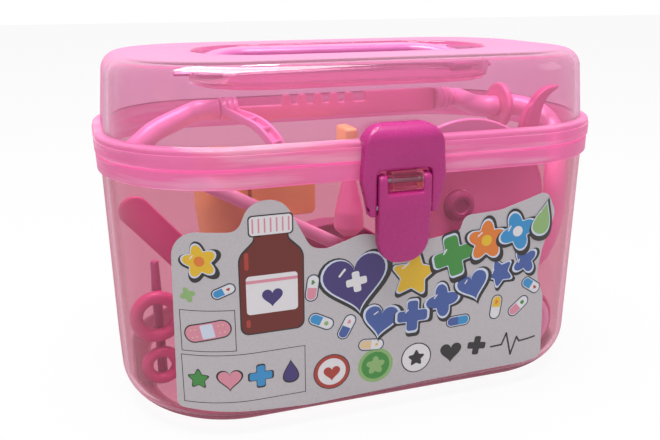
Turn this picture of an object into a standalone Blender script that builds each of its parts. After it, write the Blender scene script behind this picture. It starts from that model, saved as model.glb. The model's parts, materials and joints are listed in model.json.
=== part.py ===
# Toy doctor case: a clear pink carry case with a hinged lid, an over-centre latch, a folding
# handle and a set of toy instruments inside. Metres, +Z up, front towards -Y.
# The origin is at the middle of the case's resting face.

import math

import bmesh
import bpy
from mathutils import Matrix, Vector

# Case
case_length = 0.210
case_depth = 0.130
case_height = 0.1397
plan_corner = 0.050
wall = 0.0018
seam_height = 0.1044
clearance = 0.0003
pin_clearance = 0.0001
near_full_round_share = 0.98
blunt_round_share = 0.45
lid_flange_height = 0.0072
lid_flange_reach = 0.0036
lid_draft = 0.0020
top_round = 0.0080
base_flange_height = 0.0069
base_flange_setback = 0.0004
base_flange_reach = 0.0018
base_draft = 0.0008
bottom_round = 0.0160
flange_round = 0.0008
bead_drop = 0.0021
bead_step = 0.0004
corner_steps = 10
round_steps = 5

# Well in the lid that the handle folds into
well_length = 0.128
well_width = 0.058
well_depth = 0.0115
well_draft = 0.0006
well_round = 0.0010
well_corner_share = 0.94
well_floor_rise = 0.0016

# Lid hinges
hinge_spacing = 0.076
hinge_barrel_radius = 0.0035
hinge_barrel_width = 0.014
hinge_ear_width = 0.004
hinge_gap_to_flange = 0.0005
hinge_pin_radius = 0.0010
weld_depth = 0.0010

# Latch
lug_width = 0.0128
lug_radius = 0.0035
lug_round_share = 0.45
latch_pin_radius = 0.0010
lever_width = 0.0207
lever_arm_width = 0.0036
lever_arm_radius = 0.0026
lever_thickness = 0.0054
lever_tip_thickness = 0.0032
lever_crossbar_drop = 0.0046
lever_length = 0.0315
lever_tip_width = 0.0190
lever_tip_corner = 0.0084
lever_tip_round_share = 0.33
hook_width = 0.033
hook_thickness = 0.0040
hook_rise = 0.0062
hook_top_share = 0.91
hook_corner = 0.0085
hook_cap_round = 0.0026
hook_leg_radius = 0.0031
hook_foot_width = 0.0026
hook_shoulder_round = 0.0090
hook_crown_clear = 0.0012
hook_lip_clear = 0.0008
hook_pin_drop = 0.0100
hook_lip_round_share = 0.25
hook_foot_round_share = 0.60
hook_crown_round_share = 0.50

# Carry handle
grip_width = 0.0090
grip_thickness = 0.0064
handle_rim_gap = 0.0018
handle_pin_radius = 0.00145
handle_pin_reach = 0.0060
handle_pin_height = 0.0040
handle_boss_radius = 0.0034
handle_lean_degrees = 9

# Sheet label on the front
label_thickness = 0.00025
label_left = 0.0862
label_right = 0.0700
label_bottom = 0.0090
label_top_gap = 0.0060
label_columns = 64
label_top_shares = (
    (0.00, 0.720), (0.03, 0.850), (0.07, 0.891), (0.16, 0.891), (0.19, 0.945), (0.24, 1.000),
    (0.28, 0.980), (0.32, 0.870), (0.36, 0.777), (0.40, 0.785), (0.48, 0.810), (0.63, 0.764),
    (0.70, 0.783), (0.75, 0.855), (0.84, 0.865), (0.94, 0.910), (0.98, 0.880), (1.00, 0.780),
)
label_bottom_shares = (
    (0.00, 0.060), (0.03, 0.040), (0.35, 0.000), (0.65, 0.015), (0.95, 0.025), (1.00, 0.060),
)

# Stethoscope: spring bridge with teeth, ear tubes, hose and chest piece
headset_depth_share = 0.36
headset_height_share = 0.8861
ear_tube_radius = 0.0039
collar_radius = 0.0056
collar_width = 0.0078
bridge_left_share = 0.4192
bridge_right_share = 0.5439
bridge_rail_height = 0.0050
bridge_block_height = 0.0100
bridge_block_length = 0.0360
bridge_thickness = 0.0036
tooth_count = 5
tooth_height = 0.0046
tooth_start = 0.0220
tooth_end = 0.0160
tooth_shape_shares = ((0.00, 0.0), (0.14, 1.0), (0.52, 1.0), (0.60, 0.0))
ear_tip_radius = 0.0062
ear_tip_profile_shares = ((0.55, 0.00), (0.95, 0.25), (1.00, 0.50), (0.75, 0.90), (0.30, 1.10))
ear_tip_end_gap = 0.0085
ear_tip_place_shares = (0.26, 0.7557)
left_tube_route_shares = ((-0.80, 0.35, 0.8177), (-0.64, 0.38, 0.8714))
tube_run_share = 2.0
flange_radius = 0.0110
flange_thickness = 0.0030
flange_offset_share = 2.6
flange_depth_share = 0.04
flange_drop = 0.0012
right_tube_bend_shares = ((1.7, 0.62), (1.9, 0.20))
right_tube_end_share = 0.8
hose_radius = 0.0051
chest_radius = 0.0165
chest_thickness = 0.0100
spigot_radius = 0.0042
spigot_height = 0.0040
chest_place_shares = (0.71, -0.62)
hose_route_shares = (
    (0.915, -0.20, 0.8549), (0.935, -0.40, 0.7888), (0.880, -0.58, 0.6608),
    (0.865, -0.62, 0.5286), (0.800, -0.62, 0.3965),
)
diaphragm_inset = 0.0024
diaphragm_thickness = 0.0010
yoke_radius = 0.0030
yoke_route_shares = ((-0.42, 0.02, 0.8507), (-0.36, -0.14, 0.8053), (-0.31, -0.24, 0.7640))

# Round mirror on a stem
mirror_radius = 0.0380
mirror_dish_depth = 0.0065
mirror_thickness = 0.0018
mirror_boss_radius = 0.0070
mirror_boss_height = 0.0036
mirror_stem_width = 0.0090
mirror_stem_thickness = 0.0030
mirror_end_gap = 0.0591
mirror_place_shares = (-0.56, 0.5906)
mirror_dish_steps = 4
mirror_boss_profile_shares = ((1.00, 0.00), (1.00, 0.60), (0.70, 1.00))

# Tweezers
tweezers_depth = 0.0046
tweezers_leaf_width = 0.0032
tweezers_stem_width = 0.0042
tweezers_depth_share = 0.37
tweezers_foot_share = 0.60
tweezers_stem_shares = ((0.68, 0.3304), (0.755, 0.6112), (0.79, 0.8012))
tweezers_top_shares = (0.785, 0.7847)
tweezers_leaf_shares = (
    ("leaf_near", (0.802, 0.8672), (0.812, 0.9622)),
    ("leaf_far", (0.854, 0.8672), (0.927, 0.9622)),
)
tweezers_stem_width_shares = (1.0, 1.0, 1.5)
tweezers_leaf_width_shares = (1.2, 1.2, 0.7)

# Scissors
scissors_plate = 0.0026
scissors_gap = 0.0004
large_ring_radius = 0.0085
large_ring_stock = 0.0028
small_ring_radius = 0.0062
small_ring_stock = 0.0024
scissors_arm_width = 0.0056
scissors_blade_width = 0.0085
scissors_rivet_radius = 0.0020
scissors_head_radius = 0.0036
scissors_head_height = 0.0010
scissors_depth_share = 0.25
ring_gap = 0.0026
large_ring_end_gap = 0.0135
scissors_pivot_share = -0.50
scissors_pivot_rise = 0.01018
scissors_tip_share = -0.13
scissors_bend_share = 0.60
scissors_point_share = 0.55

# Small instruments
thermometer_radius = 0.0018
thermometer_cap_length = 0.0120
probe_radius = 0.0021
probe_height = 0.0560
depressor_width = 0.0118
depressor_thickness = 0.0022
otoscope_radius = 0.0120
otoscope_height_share = 0.7595
otoscope_head_length = 0.0290
otoscope_bar_length = 0.0490
otoscope_head_depth = 0.0140
otoscope_head_bottom_share = 0.5261
otoscope_bar_bottom_share = 0.6725
otoscope_tab_height = 0.0075
otoscope_tab_width = 0.0060
otoscope_round = 0.0015
hammer_head_radius = 0.0080
hammer_neck_radius = 0.0020
hammer_head_height = 0.0280
hammer_head_place_share = 0.4668
hammer_handle_radius = 0.0025
hammer_place_shares = (-0.008, -0.195)
hammer_profile_shares = ((0.45, 0.00), (0.85, 0.06), (1.00, 0.20), (0.86, 0.42), (0.45, 0.88))
otoscope_place_share = -0.535
thermometer_top_shares = (-0.70, 0.7144)
thermometer_bottom_shares = (0.14, 0.3386)
probe_place_shares = (-0.855, -0.155)
depressor_depth_share = 0.41
depressor_head_share = 0.6525
depressor_foot_share = -0.31
kidney_length = 0.0760
kidney_height = 0.0620
kidney_depth = 0.0140
kidney_wall = 0.0015
kidney_points = 28
kidney_place_share = 0.06
kidney_waist_share = 0.30
kidney_rise_share = 0.78
kidney_lobe_share = 0.20

# Colours, as plain red, green and blue shares
clear_pink_share = (0.86, 0.40, 0.62)
latch_magenta_share = (0.42, 0.04, 0.20)
handle_magenta_share = (0.50, 0.04, 0.26)
light_pink_share = (0.86, 0.28, 0.52)
coral_share = (0.80, 0.14, 0.30)
deep_pink_share = (0.66, 0.07, 0.24)
orange_share = (0.86, 0.30, 0.07)
lilac_share = (0.74, 0.56, 0.72)
mauve_share = (0.48, 0.14, 0.26)
steel_share = (0.62, 0.62, 0.64)
paper_share = (0.90, 0.90, 0.90)

overrun = 0.002
round_sides = 20

for old in list(bpy.data.objects):
    bpy.data.objects.remove(old)

case_parts = bpy.data.collections.new("toy_doctor_case")
bpy.context.scene.collection.children.link(case_parts)
cutters = bpy.data.collections.new("cutters")
cutters.hide_render = True
bpy.context.scene.collection.children.link(cutters)

# Places that several pieces share
lid_wall_inset = lid_flange_reach
base_wall_inset = base_flange_setback + base_flange_reach
base_rim_top = seam_height - clearance
inner_front = -(case_depth / 2 - base_wall_inset - base_draft - wall)
inner_end = case_length / 2 - base_wall_inset - base_draft - wall
seat = wall + clearance
well_floor = case_height - well_depth
contents_height = well_floor - wall
label_height = seam_height - base_flange_height - label_top_gap - label_bottom
handle_axis_height = well_floor + handle_pin_height
hinge_axis = Vector(
    (0, case_depth / 2 + hinge_gap_to_flange + hinge_barrel_radius, seam_height)
)
lever_axis = Vector(
    (
        0,
        -(case_depth / 2 + lever_arm_radius + hook_lip_clear),
        seam_height - base_flange_height / 2 - lug_radius,
    )
)
hook_axis = lever_axis - Vector((0, 0, hook_pin_drop))


def plastic(name, colour, roughness=0.35, metallic=0.0, alpha=1.0):
    material = bpy.data.materials.new(name)
    material.use_nodes = True
    shader = material.node_tree.nodes["Principled BSDF"]
    shader.inputs["Base Color"].default_value = (*colour, 1.0)
    shader.inputs["Roughness"].default_value = roughness
    shader.inputs["Metallic"].default_value = metallic
    shader.inputs["Alpha"].default_value = alpha
    return material


clear_pink = plastic("clear_pink_plastic", clear_pink_share, 0.12, alpha=0.4)
latch_magenta = plastic("latch_plastic", latch_magenta_share)
handle_magenta = plastic("handle_plastic", handle_magenta_share)
light_pink = plastic("light_pink_plastic", light_pink_share)
coral = plastic("coral_plastic", coral_share)
deep_pink = plastic("deep_pink_plastic", deep_pink_share)
orange = plastic("orange_plastic", orange_share)
lilac = plastic("lilac_plastic", lilac_share)
mauve = plastic("mauve_plastic", mauve_share)
steel = plastic("steel_wire", steel_share, 0.3, 1.0)
paper = plastic("printed_paper", paper_share, 0.5)


def place(name, mesh, material, collection=case_parts):
    piece = bpy.data.objects.new(name, mesh)
    collection.objects.link(piece)
    if collection is cutters:
        piece.hide_render = True
        piece.display_type = "WIRE"
    else:
        mesh.materials.clear()
        mesh.materials.append(material)
    return piece


def finished(bm, name, material, collection=case_parts, smooth=True):
    bmesh.ops.recalc_face_normals(bm, faces=bm.faces[:])
    mesh = bpy.data.meshes.new(name)
    bm.to_mesh(mesh)
    bm.free()
    if smooth:
        mesh.shade_smooth()
        mesh.set_sharp_from_angle(angle=math.radians(35))
    return place(name, mesh, material, collection)


def move_origin(piece, point):
    """Puts a piece's origin at a point and leaves its shape where it is."""
    piece.data.transform(Matrix.Translation(-point))
    piece.location = point


def change(piece, other, operation):
    modifier = piece.modifiers.new(other.name, "BOOLEAN")
    modifier.operation = operation
    modifier.object = other
    modifier.solver = "EXACT"


def loft(name, rings, material, collection=case_parts):
    """Joins rings of points, all of one count, into a closed body with flat ends."""
    bm = bmesh.new()
    rows = [[bm.verts.new(point) for point in ring] for ring in rings]
    for low, high in zip(rows, rows[1:]):
        for i in range(len(low)):
            after = (i + 1) % len(low)
            bm.faces.new((low[i], low[after], high[after], high[i]))
    bm.faces.new(rows[0])
    bm.faces.new(rows[-1])
    return finished(bm, name, material, collection)


def cylinder(name, radius, start, end, material, collection=case_parts, radius_end=None):
    """A round bar, or a cone where radius_end is given, from one point to another."""
    start, end = Vector(start), Vector(end)
    bm = bmesh.new()
    turn = (end - start).to_track_quat("Z", "Y").to_matrix().to_4x4()
    middle = Matrix.Translation((start + end) / 2)
    bmesh.ops.create_cone(
        bm,
        cap_ends=True,
        segments=round_sides,
        radius1=radius,
        radius2=radius if radius_end is None else radius_end,
        depth=(end - start).length,
        matrix=middle @ turn,
    )
    return finished(bm, name, material, collection)


def prism(name, outline, axis, start, end, material, collection=case_parts):
    """A flat outline drawn out along X or Y. The outline's points are (Y, Z) or (X, Z)."""
    bm = bmesh.new()
    if axis == "X":
        verts = [bm.verts.new((start, u, v)) for u, v in outline]
        push = Vector((end - start, 0, 0))
    else:
        verts = [bm.verts.new((u, start, v)) for u, v in outline]
        push = Vector((0, end - start, 0))
    face = bm.faces.new(verts)
    grown = bmesh.ops.extrude_face_region(bm, geom=[face])["geom"]
    bmesh.ops.translate(
        bm, vec=push, verts=[g for g in grown if isinstance(g, bmesh.types.BMVert)]
    )
    return finished(bm, name, material, collection)


def rounded(corners, steps=4):
    """An outline from (u, v, radius) corners, each turned into an arc of that radius."""
    points = []
    for i, (u, v, radius) in enumerate(corners):
        here = Vector((u, v))
        before = (Vector(corners[i - 1][:2]) - here).normalized()
        after = (Vector(corners[(i + 1) % len(corners)][:2]) - here).normalized()
        half = before.angle(after) / 2
        if radius == 0:
            points.append(here)
            continue
        centre = here + (before + after).normalized() * radius / math.sin(half)
        first = here + before * radius / math.tan(half) - centre
        last = here + after * radius / math.tan(half) - centre
        turn = first.angle_signed(last)
        for k in range(steps + 1):
            points.append(centre + Matrix.Rotation(-turn * k / steps, 2) @ first)
    return points


def smooth_path(points, steps=4, guides=None):
    """Points along a smooth curve through the given points, with a guide point past each end."""
    points = [Vector(p) for p in points]
    before, after = guides or (2 * points[0] - points[1], 2 * points[-1] - points[-2])
    padded = [before, *points, after]
    path = []
    for a, b, c, d in zip(padded, padded[1:], padded[2:], padded[3:]):
        for k in range(steps):
            t = k / steps
            bend = (2 * a - 5 * b + 4 * c - d) * t * t + (3 * b - a - 3 * c + d) * t**3
            path.append((2 * b + (c - a) * t + bend) / 2)
    path.append(points[-1])
    return path


def tube(name, points, radius, material, steps=4, resolution=2):
    """A round tube along a smooth curve through the points, its first and last runs straight."""
    curve = bpy.data.curves.new(name, "CURVE")
    curve.dimensions = "3D"
    curve.bevel_depth = radius
    curve.bevel_resolution = resolution
    curve.use_fill_caps = True
    first, last = Vector(points[0]), Vector(points[-1])
    path = [first, *smooth_path(points[1:-1], steps, (first, last)), last]
    spline = curve.splines.new("POLY")
    spline.points.add(len(path) - 1)
    for knot, point in zip(spline.points, path):
        knot.co = (*point, 1)
    return place(name, curve, material)


def turned(name, profile, centre, direction, material, pierced=False):
    """A body turned about an axis. The profile's points are (radius, distance along the axis)."""
    bm = bmesh.new()
    rows = []
    for radius, along in profile:
        ring = []
        for k in range(round_sides):
            angle = 2 * math.pi * k / round_sides
            ring.append(bm.verts.new((radius * math.cos(angle), radius * math.sin(angle), along)))
        rows.append(ring)
    if pierced:
        rows.append(rows[0])
    for low, high in zip(rows, rows[1:]):
        for i in range(round_sides):
            after = (i + 1) % round_sides
            bm.faces.new((low[i], low[after], high[after], high[i]))
    if not pierced:
        bm.faces.new(rows[0])
        bm.faces.new(rows[-1])
    turn = Vector(direction).to_track_quat("Z", "Y").to_matrix().to_4x4()
    bmesh.ops.transform(bm, matrix=Matrix.Translation(centre) @ turn, verts=bm.verts[:])
    return finished(bm, name, material)


def ribbon(points, widths):
    """The outline of a flat bar with rounded ends along a smooth line of (u, v) points."""
    line = smooth_path([Vector((u, v)) for u, v in points])
    count = len(line)
    left, right = [], []
    for i, point in enumerate(line):
        along = (line[min(i + 1, count - 1)] - line[max(i - 1, 0)]).normalized()
        side = Vector((-along.y, along.x))
        place_along = i / (count - 1) * (len(widths) - 1)
        k = min(int(place_along), len(widths) - 2)
        width = widths[k] + (widths[k + 1] - widths[k]) * (place_along - k)
        left.append(point + side * width / 2)
        right.append(point - side * width / 2)

    def end_arc(first, last, steps=5):
        centre = (first + last) / 2
        arm = first - centre
        return [
            centre + Matrix.Rotation(-math.pi * k / steps, 2) @ arm for k in range(1, steps)
        ]

    return left + end_arc(left[-1], right[-1]) + right[::-1] + end_arc(right[0], left[0])


def plan_ring(half_length, half_depth, corner, height):
    """A rounded rectangle of points at one height."""
    points = []
    for quarter, (side_x, side_y) in enumerate(((1, 1), (-1, 1), (-1, -1), (1, -1))):
        for k in range(corner_steps + 1):
            angle = math.pi / 2 * (quarter + k / corner_steps)
            x = side_x * (half_length - corner) + corner * math.cos(angle)
            y = side_y * (half_depth - corner) + corner * math.sin(angle)
            points.append(Vector((x, y, height)))
    return points


def case_ring(inset, height):
    return plan_ring(
        case_length / 2 - inset, case_depth / 2 - inset, plan_corner - inset, height
    )


def well_ring(inset, height):
    half_width = well_width / 2 - inset
    return plan_ring(
        well_length / 2 - inset, half_width, half_width * well_corner_share, height
    )


def bottom_arc(inset, radius, low):
    """Insets and heights round the case's bottom edge, from the resting face upwards."""
    arc = []
    for k in range(round_steps + 1):
        angle = math.pi / 2 * k / round_steps
        arc.append((inset + radius * (1 - math.sin(angle)), low + radius * (1 - math.cos(angle))))
    return arc


def top_arc(inset, radius, high):
    """Insets and heights round the lid's top edge, from the wall to the top face."""
    arc = []
    for k in range(round_steps + 1):
        angle = math.pi / 2 * k / round_steps
        arc.append((inset + radius * (1 - math.cos(angle)), high - radius * (1 - math.sin(angle))))
    return arc


def base_wall_at(height):
    """How far the base's outer wall lies inside the lid's flange at this height."""
    rise = (height - bottom_round) / (seam_height - base_flange_height - bottom_round)
    return base_wall_inset + base_draft * (1 - min(max(rise, 0), 1))


def inner_x(y):
    """The base's inner end wall at this depth, for pieces that lean on it."""
    corner = plan_corner - base_wall_inset - base_draft - wall
    centre_y = case_depth / 2 - base_wall_inset - base_draft - wall - corner
    beyond = max(abs(y) - centre_y, 0)
    return inner_end - corner + math.sqrt(corner**2 - min(beyond, corner) ** 2)


def make_base():
    low = base_wall_inset + base_draft
    flange_bottom = seam_height - base_flange_height
    profile = bottom_arc(low, bottom_round, 0)
    profile += [
        (base_wall_inset, flange_bottom),
        (base_flange_setback + flange_round, flange_bottom),
        (base_flange_setback, flange_bottom + flange_round),
        (base_flange_setback, base_rim_top - flange_round),
        (base_flange_setback + flange_round, base_rim_top),
        (base_wall_inset + wall, base_rim_top),
        (base_wall_inset + wall, flange_bottom),
    ]
    profile += bottom_arc(low + wall, bottom_round - wall, wall)[::-1]
    base = loft("base_tub", [case_ring(i, z) for i, z in profile], clear_pink)

    lug_back = -(case_depth / 2 - base_flange_setback - weld_depth)
    lug_front = lever_axis.y - lug_radius
    lug_low, lug_high = lever_axis.z - lug_radius, lever_axis.z + lug_radius
    lug_outline = rounded(
        [
            (lug_front, lug_low, lug_radius * lug_round_share),
            (lug_front, lug_high, lug_radius * lug_round_share),
            (lug_back, lug_high, 0),
            (lug_back, lug_low, 0),
        ]
    )
    half = lug_width / 2
    change(base, prism("lug", lug_outline, "X", -half, half, None, cutters), "UNION")
    change(base, bore("lug_bore", lever_axis, lug_width, latch_pin_radius), "DIFFERENCE")

    for side, label in ((-1, "left"), (1, "right")):
        for end in (-1, 1):
            near = side * hinge_spacing / 2 + end * (hinge_barrel_width / 2 + clearance)
            far = near + end * hinge_ear_width
            outline = hinge_outline(base_rim_top - weld_depth, -1)
            tag = f"ear_{label}_{'outer' if end == side else 'inner'}"
            ear = prism(tag, outline, "X", min(near, far), max(near, far), None, cutters)
            change(base, ear, "UNION")
        centre = hinge_axis + Vector((side * hinge_spacing / 2, 0, 0))
        width = hinge_barrel_width + 2 * (hinge_ear_width + clearance)
        change(base, bore(f"ear_bore_{label}", centre, width, hinge_pin_radius), "DIFFERENCE")
    return base


def hinge_outline(web_edge, side):
    """The outline in Y and Z of a hinge ear, with its web below the axis, or above it."""
    radius = hinge_barrel_radius
    root = case_depth / 2 - base_flange_setback - weld_depth
    bend = radius * near_full_round_share
    return rounded(
        [
            (root, hinge_axis.z + side * radius, 0),
            (hinge_axis.y + radius, hinge_axis.z + side * radius, bend),
            (hinge_axis.y + radius, hinge_axis.z - side * radius, bend),
            (hinge_axis.y - radius, hinge_axis.z - side * radius, bend),
            (hinge_axis.y - radius, web_edge, 0),
            (root, web_edge, 0),
        ]
    )


def bore(name, centre, width, pin_radius):
    """A cutter along X for a pin, one running clearance larger all round."""
    reach = Vector((width / 2 + overrun, 0, 0))
    return cylinder(name, pin_radius + pin_clearance, centre - reach, centre + reach, None, cutters)


def make_lid():
    flange_top = seam_height + lid_flange_height
    bead_height = flange_top - bead_drop
    top_inset = lid_wall_inset + lid_draft
    outer = [
        (flange_round, seam_height),
        (0, seam_height + flange_round),
        (0, bead_height),
        (bead_step, bead_height + bead_step),
        (bead_step, flange_top - flange_round),
        (bead_step + flange_round, flange_top),
        (lid_wall_inset, flange_top),
    ] + top_arc(top_inset, top_round, case_height)
    inner = top_arc(top_inset + wall, top_round - wall, case_height - wall)[::-1]
    inner += [(lid_wall_inset + wall, flange_top), (lid_wall_inset + wall, seam_height)]
    under = well_floor - wall
    rings = [
        well_ring(well_floor_rise - wall, under),
        well_ring(well_draft - wall, under + well_floor_rise),
        well_ring(-wall, case_height - wall),
    ]
    rings += [case_ring(i, z) for i, z in inner + outer]
    rings += [
        well_ring(-well_round, case_height),
        well_ring(0, case_height - well_round),
        well_ring(well_draft, well_floor + well_floor_rise),
        well_ring(well_floor_rise, well_floor),
    ]
    lid = loft("lid_shell", rings, clear_pink)

    for side, label in ((-1, "left"), (1, "right")):
        centre = hinge_axis + Vector((side * hinge_spacing / 2, 0, 0))
        half = hinge_barrel_width / 2
        knuckle = prism(
            f"knuckle_{label}",
            hinge_outline(seam_height + weld_depth, 1),
            "X",
            centre.x - half,
            centre.x + half,
            None,
            cutters,
        )
        change(lid, knuckle, "UNION")
        change(
            lid,
            bore(f"knuckle_bore_{label}", centre, hinge_barrel_width, hinge_pin_radius),
            "DIFFERENCE",
        )
    pin_bore = cylinder(
        "handle_pin_bore",
        handle_pin_radius + pin_clearance,
        (-well_length / 2 - wall - overrun, 0, handle_axis_height),
        (well_length / 2 + wall + overrun, 0, handle_axis_height),
        None,
        cutters,
    )
    change(lid, pin_bore, "DIFFERENCE")
    move_origin(lid, hinge_axis)
    return lid


def make_hinge_pins():
    for side, label in ((-1, "left"), (1, "right")):
        centre = hinge_axis + Vector((side * hinge_spacing / 2, 0, 0))
        half = Vector((hinge_barrel_width / 2 + hinge_ear_width + clearance, 0, 0))
        cylinder(f"hinge_pin_{label}", hinge_pin_radius, centre - half, centre + half, steel)


def make_lever():
    back = lever_axis.y + lever_arm_radius
    front = back - lever_thickness
    tip = lever_axis.z - lever_length
    side = rounded(
        [
            (back, lever_axis.z + lever_arm_radius, lever_arm_radius),
            (front + lever_thickness - 2 * lever_arm_radius,
             lever_axis.z + lever_arm_radius, lever_arm_radius),
            (front, hook_axis.z, lever_thickness),
            (front + (lever_thickness - lever_tip_thickness) / 2, tip, lever_tip_thickness * lever_tip_round_share),
            (front + (lever_thickness + lever_tip_thickness) / 2, tip, lever_tip_thickness * lever_tip_round_share),
            (back, hook_axis.z - lever_arm_radius, lever_thickness),
        ]
    )
    lever = prism(
        "latch_lever", side, "X", -lever_width / 2, lever_width / 2, latch_magenta
    )
    half = lever_width / 2
    inner = half - lever_arm_width
    crossbar = lever_axis.z - lever_crossbar_drop
    top = lever_axis.z + lever_arm_radius
    arm_round = lever_arm_width * blunt_round_share
    face = rounded(
        [
            (-half, top, arm_round),
            (-inner, top, arm_round),
            (-inner, crossbar, 0),
            (inner, crossbar, 0),
            (inner, top, arm_round),
            (half, top, arm_round),
            (half, hook_axis.z, 0),
            (lever_tip_width / 2, tip, lever_tip_corner),
            (-lever_tip_width / 2, tip, lever_tip_corner),
            (-half, hook_axis.z, 0),
        ]
    )
    front_shape = prism(
        "lever_face", face, "Y", front - overrun, back + overrun, None, cutters
    )
    change(lever, front_shape, "INTERSECT")
    change(lever, bore("lever_bore", lever_axis, lever_width, latch_pin_radius), "DIFFERENCE")
    change(lever, bore("lever_hook_bore", hook_axis, lever_width, latch_pin_radius), "DIFFERENCE")
    move_origin(lever, lever_axis)
    return lever


def make_hook():
    flange_top = seam_height + lid_flange_height
    back = -(case_depth / 2 + hook_lip_clear)
    front = back - hook_thickness
    lip_back = -(case_depth / 2 - lid_wall_inset + hook_lip_clear)
    lip_low = flange_top + clearance
    top = flange_top + hook_rise
    foot = hook_axis.z - hook_leg_radius
    leg_back = hook_axis.y + hook_leg_radius
    lip_round = hook_cap_round * hook_lip_round_share
    foot_round = hook_leg_radius * hook_foot_round_share
    crown_round = hook_leg_radius * hook_crown_round_share
    side = rounded(
        [
            (front, top, hook_cap_round),
            (lip_back, top, hook_cap_round),
            (lip_back, lip_low, lip_round),
            (back, lip_low, lip_round),
            (back, hook_axis.z + hook_leg_radius, 0),
            (leg_back, foot, foot_round),
            (front, foot, foot_round),
        ]
    )
    hook = prism("latch_hook", side, "X", -hook_width / 2, hook_width / 2, latch_magenta)
    half = hook_width / 2
    inner = lever_width / 2 + clearance
    crown = lever_axis.z + lever_arm_radius + hook_crown_clear
    leg_round = hook_foot_width * blunt_round_share
    outer = inner + hook_foot_width
    face = rounded(
        [
            (-half * hook_top_share, top, hook_corner),
            (half * hook_top_share, top, hook_corner),
            (half, lever_axis.z, hook_shoulder_round),
            (outer, foot, leg_round),
            (inner, foot, leg_round),
            (inner, crown, crown_round),
            (-inner, crown, crown_round),
            (-inner, foot, leg_round),
            (-outer, foot, leg_round),
            (-half, lever_axis.z, hook_shoulder_round),
        ]
    )
    front_shape = prism(
        "hook_face", face, "Y", front - overrun, lip_back + overrun, None, cutters
    )
    change(hook, front_shape, "INTERSECT")
    change(hook, bore("hook_bore", hook_axis, hook_width, latch_pin_radius), "DIFFERENCE")
    move_origin(hook, hook_axis)
    return hook


def make_latch_pins():
    half = Vector((lever_width / 2, 0, 0))
    cylinder("lever_pin", latch_pin_radius, lever_axis - half, lever_axis + half, steel)
    half = Vector((lever_width / 2 + hook_foot_width, 0, 0))
    cylinder("hook_pin", latch_pin_radius, hook_axis - half, hook_axis + half, steel)


def make_handle():
    half_width = well_width / 2
    corner = half_width * well_corner_share
    reach = corner - handle_rim_gap - grip_width / 2
    arc_x = well_length / 2 - corner
    side_y = half_width - corner
    path = []
    for k in range(round_steps * 2 + 1):
        angle = math.pi / 2 * k / (round_steps * 2)
        path.append((arc_x + reach * math.cos(angle), side_y + reach * math.sin(angle)))
    path = [(arc_x + reach, 0)] + path
    path += [(-x, y) for x, y in path[::-1]]
    grip_round = grip_thickness * blunt_round_share
    section = rounded(
        [
            (grip_width / 2, grip_thickness / 2, grip_round),
            (-grip_width / 2, grip_thickness / 2, grip_round),
            (-grip_width / 2, -grip_thickness / 2, grip_round),
            (grip_width / 2, -grip_thickness / 2, grip_round),
        ],
        steps=3,
    )
    rings = []
    for i, (x, y) in enumerate(path):
        before = Vector(path[max(i - 1, 0)])
        after = Vector(path[min(i + 1, len(path) - 1)])
        along = (after - before).normalized()
        across = Vector((along.y, -along.x))
        rings.append(
            [
                Vector((x + across.x * u, y + across.y * u, handle_axis_height + v))
                for u, v in section
            ]
        )
    handle = loft("carry_handle", rings, handle_magenta)
    axis_point = Vector((0, 0, handle_axis_height))
    lean = Matrix.Rotation(math.radians(handle_lean_degrees), 4, "X")
    handle.data.transform(Matrix.Translation(-axis_point))
    handle.data.transform(lean)
    handle.location = axis_point
    pin_tip = well_length / 2 + wall + handle_pin_reach
    for side, label in ((-1, "left"), (1, "right")):
        root = arc_x + reach - weld_depth
        boss = cylinder(
            f"handle_boss_{label}",
            handle_boss_radius,
            (side * (root - grip_width / 2), 0, handle_axis_height),
            (side * (arc_x + reach + grip_width / 2), 0, handle_axis_height),
            None,
            cutters,
        )
        stub = cylinder(
            f"handle_stub_{label}",
            handle_pin_radius,
            (side * root, 0, handle_axis_height),
            (side * pin_tip, 0, handle_axis_height),
            None,
            cutters,
        )
        change(handle, boss, "UNION")
        change(handle, stub, "UNION")
    return handle


def between(shares, at):
    """The value of a smooth line through (place, value) shares at one place."""
    for (a, low), (b, high) in zip(shares, shares[1:]):
        if at <= b:
            t = (at - a) / (b - a)
            t = t * t * (3 - 2 * t)
            return low + (high - low) * t
    return shares[-1][1]


def wall_point(along, height, stand_off):
    """A point off the front wall, at a distance along its outline from the middle."""
    inset = base_wall_at(height)
    half_length = case_length / 2 - inset
    corner = plan_corner - inset
    straight = half_length - corner
    front = -(case_depth / 2 - inset)
    side = math.copysign(1, along)
    beyond = abs(along) - straight
    if beyond <= 0:
        return Vector((along, front - stand_off, height))
    turn = beyond / corner
    out = corner + stand_off
    return Vector(
        (side * (straight + out * math.sin(turn)), front + corner - out * math.cos(turn), height)
    )


def make_label():
    left, right = -label_left, label_right
    rows = 4
    bm = bmesh.new()
    layers = []
    for stand_off in (clearance, clearance + label_thickness):
        grid = []
        for i in range(label_columns + 1):
            share = i / label_columns
            along = left + (right - left) * share
            low = label_bottom + label_height * between(label_bottom_shares, share)
            high = label_bottom + label_height * between(label_top_shares, share)
            grid.append(
                [
                    bm.verts.new(wall_point(along, low + (high - low) * k / rows, stand_off))
                    for k in range(rows + 1)
                ]
            )
        layers.append(grid)
    inner, outer = layers
    for i in range(label_columns):
        for k in range(rows):
            for grid in (inner, outer):
                bm.faces.new((grid[i][k], grid[i + 1][k], grid[i + 1][k + 1], grid[i][k + 1]))
        for k in (0, rows):
            bm.faces.new((inner[i][k], inner[i + 1][k], outer[i + 1][k], outer[i][k]))
    for i in (0, label_columns):
        for k in range(rows):
            bm.faces.new((inner[i][k], inner[i][k + 1], outer[i][k + 1], outer[i][k]))
    return finished(bm, "front_label", paper)


def spot(x_share, y_share, z_share):
    """A place in the case: shares of its inner half length, half depth and contents' height."""
    return Vector((x_share * inner_end, -y_share * inner_front, z_share * contents_height))


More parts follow.
